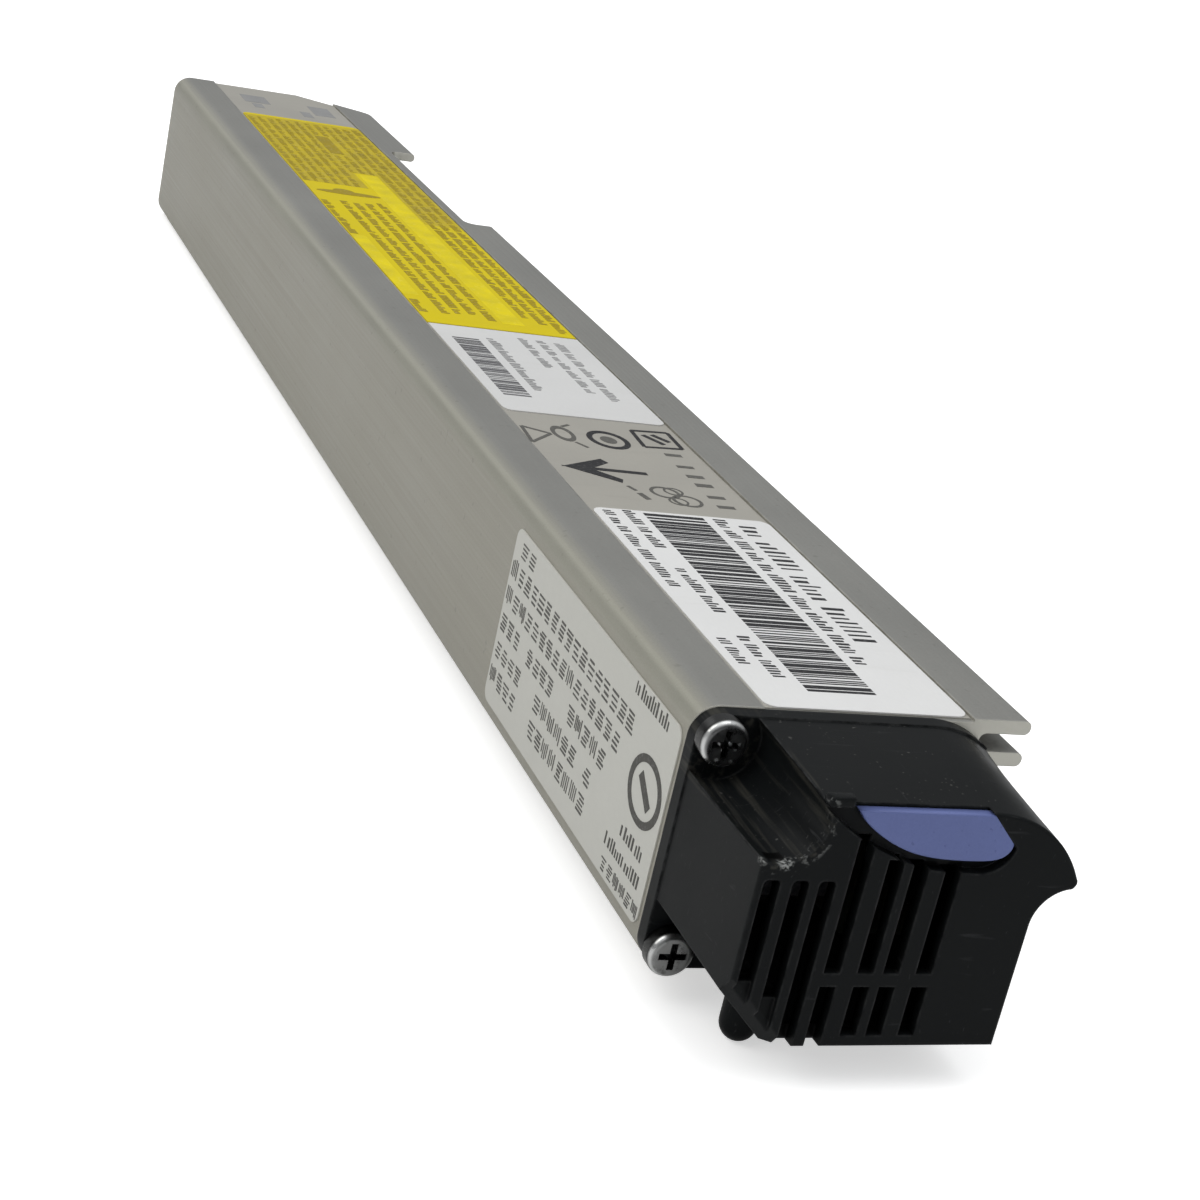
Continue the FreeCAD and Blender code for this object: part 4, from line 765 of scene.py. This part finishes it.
FRONT_LINES = (
    (18.0, 50.8, 25.6, 28.3, 0.50, 0.75, 1.3),
    (12.0, 52.3, 22.9, 24.5, 0.36, 0.34, 0.7),
    (41.1, 52.4, 11.6, 13.0, 0.32, 0.32, 0.6),
    (23.4, 35.3, 11.6, 13.0, 0.32, 0.32, 0.6),
    (7.6, 17.5, 11.6, 13.0, 0.32, 0.32, 0.6),
    (29.8, 52.4, 9.0, 10.3, 0.32, 0.32, 0.6),
    (10.4, 16.9, 9.0, 10.3, 0.32, 0.32, 0.6),
)
REAR_LINES = (
    (95.6, 118.3, 15.0, 16.5, 0.5, 0.25, 0.3),
    (106.8, 120.2, 20.2, 21.5, 0.4, 0.25, 0.6),
    (97.0, 120.3, 22.9, 24.2, 0.4, 0.25, 0.6),
    (94.3, 120.0, 25.5, 26.9, 0.4, 0.3, 0.6),
)
YELLOW_LINES = [
    (start, end, low, low + 1.3, 0.62, 0.25, 0.5) for start, end, low in (
        (169.6, 190.5, 8.1), (128.1, 135.6, 8.1), (128.4, 192.0, 11.5), (129.0, 192.0, 13.7),
        (129.5, 192.0, 15.9), (127.3, 193.0, 18.2), (131.0, 252.5, 24.5), (128.5, 252.5, 26.4),
        (124.8, 252.5, 28.4))
] + [
    (start, end, low, low + 1.05, 0.62, 0.3, 0.5) for start, end, low in (
        (203.5, 252.5, 8.3), (203.5, 252.5, 10.1), (203.5, 252.5, 11.9), (203.5, 252.5, 13.7),
        (203.5, 252.5, 15.5), (203.5, 252.5, 17.3), (214.5, 227.5, 19.1), (243.0, 252.5, 19.1),
        (214.5, 227.5, 20.9), (243.0, 252.5, 20.9), (214.5, 252.5, 22.7))
]
SIDE_LINES = (
    (3.8, 13.0, 22.7, 24.3, 0.32, 0.34, 0.3),
    (2.9, 9.1, 8.9, 10.3, 0.32, 0.34, 0.3),
    (2.2, 12.2, 6.3, 7.7, 0.32, 0.34, 0.3),
)

# Lines of clusters on the side label: low, high, front end and the missing ones,
# counted from the rear end of the label, where all of them start

SIDE_REAR_END = 52.0
SIDE_PITCH = 2.42
SIDE_CLUSTERS = (
    (18.5, 20.9, 10.3, ()),
    (15.3, 17.5, 13.2, ()),
    (12.0, 14.2, 13.3, (3, 8, 9)),
    (8.7, 10.8, 16.2, (4, 5, 12)),
    (5.5, 7.7, 16.0, (4, 5)),
)

# Short bars across the silver label: place along the tube and size

TICKS = ((74.4, 0.9), (70.2, 0.8), (66.8, 0.95), (63.8, 1.1), (59.8, 0.9), (56.6, 0.9))


def print_white_labels(rng, inks):
    marks = stripes(rng, 4.6, 51.8, 14.1, 21.7) + all_words(rng, FRONT_LINES)
    plates("front_label_print", marks, on_top, inks["black"])
    marks = stripes(rng, 92.3, 117.0, 9.7, 13.6)
    plates("rear_label_bars", marks, on_top, inks["grey"])
    marks = all_words(rng, REAR_LINES)
    plates("rear_label_lines", marks, on_top, inks["faint"])


def print_base_label(inks):
    """An arrow, a ring with a disc, a square with two bars, two pairs of rings, a
    triangle, an oval ring and short bars; pale blocks at the far end."""
    arrow = [stroke((20.1, 66.2), (11.2, 66.4), 0.95),
             [(9.0, 66.3), (12.9, 66.4), (16.0, 69.0), (15.4, 70.3)],
             [(9.0, 66.6), (15.4, 62.1), (15.9, 63.3), (12.6, 66.5)]]
    square = closed_strokes([(24.1, 82.9), (29.3, 83.3), (29.1, 77.2), (23.7, 76.7)], 0.6)
    square += [stroke((25.2, 81.5), (27.0, 78.3), 0.8), stroke((26.6, 81.9), (28.2, 79.5), 0.8)]
    marks = arrow + ring(19.25, 78.0, 2.8, 2.05, stretch=1.2) + square
    plates("base_label_marks", marks, on_base, inks["black"])

    marks = disc(19.25, 78.0, 1.1, parts=20, stretch=1.2)
    marks += ring(20.1, 60.0, 1.95, 1.5, parts=20) + ring(22.1, 57.6, 1.95, 1.5, parts=20)
    marks += ring(21.4, 60.6, 1.3, 1.0, parts=14) + ring(20.8, 57.2, 1.3, 1.0, parts=14)
    marks += [stroke((15.7, 61.2), (16.3, 59.8), 0.5), stroke((16.4, 59.0), (16.9, 57.0), 0.8)]
    marks += closed_strokes([(8.3, 80.3), (7.9, 74.4), (11.6, 78.3)], 0.5)
    marks += ring(13.4, 78.8, 1.5, 0.95, parts=20, stretch=1.9)
    marks += [stroke((15.4, 82.6), (14.1, 81.6), 0.45), stroke((14.1, 75.9), (15.2, 74.2), 0.45)]
    marks += [bar(25.6, along - size / 2, 27.9, along + size / 2) for along, size in TICKS]
    plates("base_label_print", marks, on_base, inks["dull"])

    marks = [bar(10.9, 266.5, 15.9, 273.0), bar(11.9, 262.0, 13.9, 265.6),
             bar(23.9, 262.5, 28.0, 270.5), bar(21.0, 259.5, 23.0, 264.0)]
    plates("base_label_blocks", marks, on_base, inks["faint"])


def print_yellow_label(rng, inks):
    marks = all_words(rng, YELLOW_LINES) + [bar(18.9, 228.5, 21.4, 242.0)]
    marks += disc(14.6, 197.3, 5.6, stretch=0.22) + disc(14.0, 198.4, 1.9, stretch=0.9)
    plates("yellow_label_print", marks, on_top, inks["yellow_line"])
    marks = [bar(7.95, 203.2, 19.6, 253.6), bar(19.6, 214.2, 30.2, 253.6),
             bar(23.9, 182.0, 30.2, 214.2)]
    plates("yellow_label_fields", marks, on_top, inks["yellow_field"], 0.014)
    marks = [bar(20.2, 126.5, 23.6, 213.4), bar(7.95, 136.6, 10.4, 168.8)]
    plates("yellow_label_bands", marks, on_top, inks["bright_yellow"], 0.018)


def print_side_label(rng, inks):
    marks = clusters(rng, 45.2, 51.0, 21.6, 23.6, 2.7)
    for low, high, front_end, missing in SIDE_CLUSTERS:
        line = clusters(rng, 0.0, SIDE_REAR_END - front_end, low, high, SIDE_PITCH, missing)
        marks += [[(SIDE_REAR_END - along, up) for along, up in outline] for outline in line]
    marks += clusters(rng, 1.0, 11.8, 3.6, 5.2, 1.8)
    plates("side_label_print", marks, on_left, inks["small"])
    marks = all_words(rng, SIDE_LINES, turned=False)
    marks += ring(5.55, 15.35, 4.25, 3.3, parts=36, stretch=0.86)
    marks += [stroke((7.2, 16.6), (3.9, 14.1), 1.2)]
    plates("side_label_marks", marks, on_left, inks["soft"])


def print_labels():
    inks = {name: ink("ink_" + name, tint, wear) for name, (tint, wear) in INKS.items()}
    rng = random.Random(SEED)
    print_white_labels(rng, inks)
    print_base_label(inks)
    print_yellow_label(rng, inks)
    print_side_label(rng, inks)


# Edge of the touch pad and its middle, in millimetres across and up, and its rows
# of points from the back to the face: how far each is inset, and its place along.
# A face counts as flat where its normal along the tube is longer than FLAT.

PAD_EDGE = [
    (9.55, 26.25), (10.45, 25.15), (11.9, 24.05), (13.75, 23.0), (15.9, 22.15), (18.3, 21.65),
    (21.0, 21.47), (23.8, 21.5), (25.3, 21.75), (26.15, 22.35), (26.45, 23.2), (26.2, 24.3),
    (25.4, 25.35), (24.4, 26.28),
]
PAD_MIDDLE = (18.3, 24.4)
PAD_ROWS = (
    (0.0, -16.85), (0.0, -17.68), (0.03, -17.80), (0.09, -17.90), (0.19, -17.96), (0.32, -17.98),
)
CURVE_STEPS = 4
FLAT = 0.999


def inset(edge, middle, amount):
    """The same closed outline, each point moved towards the middle."""
    result = []
    for point in edge:
        part = amount / math.dist(point, middle)
        result.append(tuple(a + (b - a) * part for a, b in zip(point, middle)))
    return result


def smooth(edge):
    """More points on a closed outline, along a curve through the given ones. The
    side from the last point to the first stays straight."""
    result = []
    for i in range(len(edge)):
        a, b, c, d = (edge[(i + k) % len(edge)] for k in (-1, 0, 1, 2))
        steps = 1 if i == len(edge) - 1 else CURVE_STEPS
        if i == 0:
            a = b
        if i == len(edge) - 2:
            d = c
        for j in range(steps):
            t = j / steps
            result.append(tuple(
                0.5 * (2 * b[k] + (c[k] - a[k]) * t
                       + (2 * a[k] - 5 * b[k] + 4 * c[k] - d[k]) * t * t
                       + (3 * b[k] - a[k] - 3 * c[k] + d[k]) * t ** 3) for k in (0, 1)))
    return result


def smooth_rim(shape):
    """Triangles for the back and the face, and smooth shading on all but those two."""
    bmesh.ops.triangulate(shape, faces=[face for face in shape.faces if len(face.verts) > 4])
    for face in shape.faces:
        face.smooth = abs(face.normal.y) < FLAT


def pad_face():
    """The touch pad with a rounded rim round its flat face."""
    edge = smooth(PAD_EDGE)
    count = len(edge)
    points = []
    faces = []
    for amount, along in PAD_ROWS:
        points += [at(x, along, z) for x, z in inset(edge, PAD_MIDDLE, amount)]
    last = count * (len(PAD_ROWS) - 1)
    for first in range(0, last, count):
        faces += walls(first, count)
    faces += [row(0, count), row(last, count)[::-1]]
    piece = solid("touch_pad_face", points, faces, smooth_rim)
    piece.data.materials.append(nodes["touch_pad"].data.materials[0])
    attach(piece, "root")
    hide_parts("touch_pad")


# The tab on the cap, in millimetres: outline across and along, and heights

TAB_OUTLINE = [(6.2, -16.7), (9.0, -16.7), (8.9, -17.98), (6.4, -17.98)]
TAB_HEIGHTS = (26.45, 27.5)
TAB_ROUNDING = 0.00022


def round_tab(shape):
    bmesh.ops.bevel(shape, geom=list(shape.edges), offset=TAB_ROUNDING, segments=3, profile=0.5,
                    affect="EDGES")


def cap_tab():
    """The low glossy tab at the top edge of the cap, between groove and pad."""
    points = [at(across, along, up) for up in TAB_HEIGHTS for across, along in TAB_OUTLINE]
    count = len(TAB_OUTLINE)
    faces = [row(0, count)[::-1], row(count, count)] + walls(0, count)
    piece = solid("cap_tab", points, faces, round_tab)
    piece.data.shade_smooth()
    piece.data.materials.append(black_moulding("tab_black", base_rough=0.2))
    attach(piece, "root")


# Floor, in metres: it slopes from the peg, which stands below the tube, up to the
# tube's rear end. Its glow is added for these kinds of rays.

PEG_BELOW = 0.0033
PEG_TO_REAR = 0.290
FLOOR_SLOPE = PEG_BELOW / PEG_TO_REAR
REAR_END = 0.1405
FLOOR_GAP = 0.00002
FLOOR_REACH = 6.0
FLOOR_GREY = (0.80, 0.80, 0.80)
FLOOR_GLOW = (("Is Camera Ray", 0.55), ("Is Transmission Ray", 0.55), ("Is Glossy Ray", 0.12))


def make_floor():
    """A pale floor that touches the peg and the rear end of the tube. It adds a
    glow of its own for the rays that show the background, so that it is white
    there and keeps the shadow."""
    mesh = bpy.data.meshes.new("floor")
    mesh.from_pydata([(x * FLOOR_REACH, y * FLOOR_REACH,
                       (y * FLOOR_REACH - REAR_END) * FLOOR_SLOPE - FLOOR_GAP)
                      for x, y in ((-1, -1), (1, -1), (1, 1), (-1, 1))], [], [(0, 1, 2, 3)])
    floor = put_in_scene("floor", mesh)
    material = bpy.data.materials.new("floor")
    tree = Nodes(material)
    lit = tree.new("BsdfDiffuse")
    lit.inputs["Color"].default_value = colour(FLOOR_GREY)
    path = tree.new("LightPath")
    strength = 0.0
    for kind, power in FLOOR_GLOW:
        strength = tree.math("MAXIMUM", tree.times(path.outputs[kind], power), strength)
    glow = tree.new("Emission")
    tree.put(strength, glow.inputs["Strength"])
    both = tree.new("AddShader")
    tree.put(lit.outputs[0], both.inputs[0])
    tree.put(glow.outputs[0], both.inputs[1])
    tree.put(both.outputs[0], tree.new("OutputMaterial").inputs["Surface"])
    mesh.materials.append(material)


# World: strength of the sky where it starts to rise and overhead

SKY_TINT = (0.97, 0.985, 1.0)
SKY_START = 0.15
SKY_LOW = 0.26
SKY_HIGH = 0.96


def make_world():
    """A studio that is dim at the horizon and bright overhead, and that the camera
    sees as plain white."""
    world = bpy.data.worlds.new("World")
    bpy.context.scene.world = world
    tree = Nodes(world)
    height = tree.axes_of(tree.new("TexCoord").outputs["Generated"])["Z"]
    sky = tree.new("Background")
    sky.inputs["Color"].default_value = colour(SKY_TINT)
    tree.put(tree.span(height, SKY_START, 1.0, SKY_LOW, SKY_HIGH, "SMOOTHSTEP"),
             sky.inputs["Strength"])
    seen = tree.new("Background")
    seen.inputs["Color"].default_value = colour((1.0, 1.0, 1.0))
    either = tree.new("MixShader")
    tree.put(tree.new("LightPath").outputs["Is Camera Ray"], either.inputs[0])
    tree.put(sky.outputs[0], either.inputs[1])
    tree.put(seen.outputs[0], either.inputs[2])
    tree.put(either.outputs[0], tree.new("OutputWorld").inputs["Surface"])


# Lamps: place, aim, width, height, power and tint

LAMPS = {
    "key": ((-0.75, -0.15, 0.75), (0, -0.02, 0.01), 0.7, 0.7, 3.5, (1.0, 0.985, 0.95)),
    "over": ((0.10, -0.35, 1.2), (0, -0.08, 0.01), 0.6, 0.9, 2.7, (1, 1, 1)),
    "rim": ((-0.45, 1.05, 0.60), (0, -0.05, 0.01), 0.5, 0.5, 1.0, (1, 1, 1)),
}


def make_lamps():
    for name, (place, aim, width, height, power, tint) in LAMPS.items():
        data = bpy.data.lights.new(name, "AREA")
        data.shape = "RECTANGLE"
        data.size = width
        data.size_y = height
        data.energy = power
        data.color = tint
        item = put_in_scene(name, data)
        item.location = place
        item.rotation_euler = (Vector(aim) - Vector(place)).to_track_quat("-Z", "Y").to_euler()


bpy.context.scene.view_settings.view_transform = "Standard"
make_camera()
dress()
print_labels()
pad_face()
cap_tab()
make_floor()
make_world()
make_lamps()
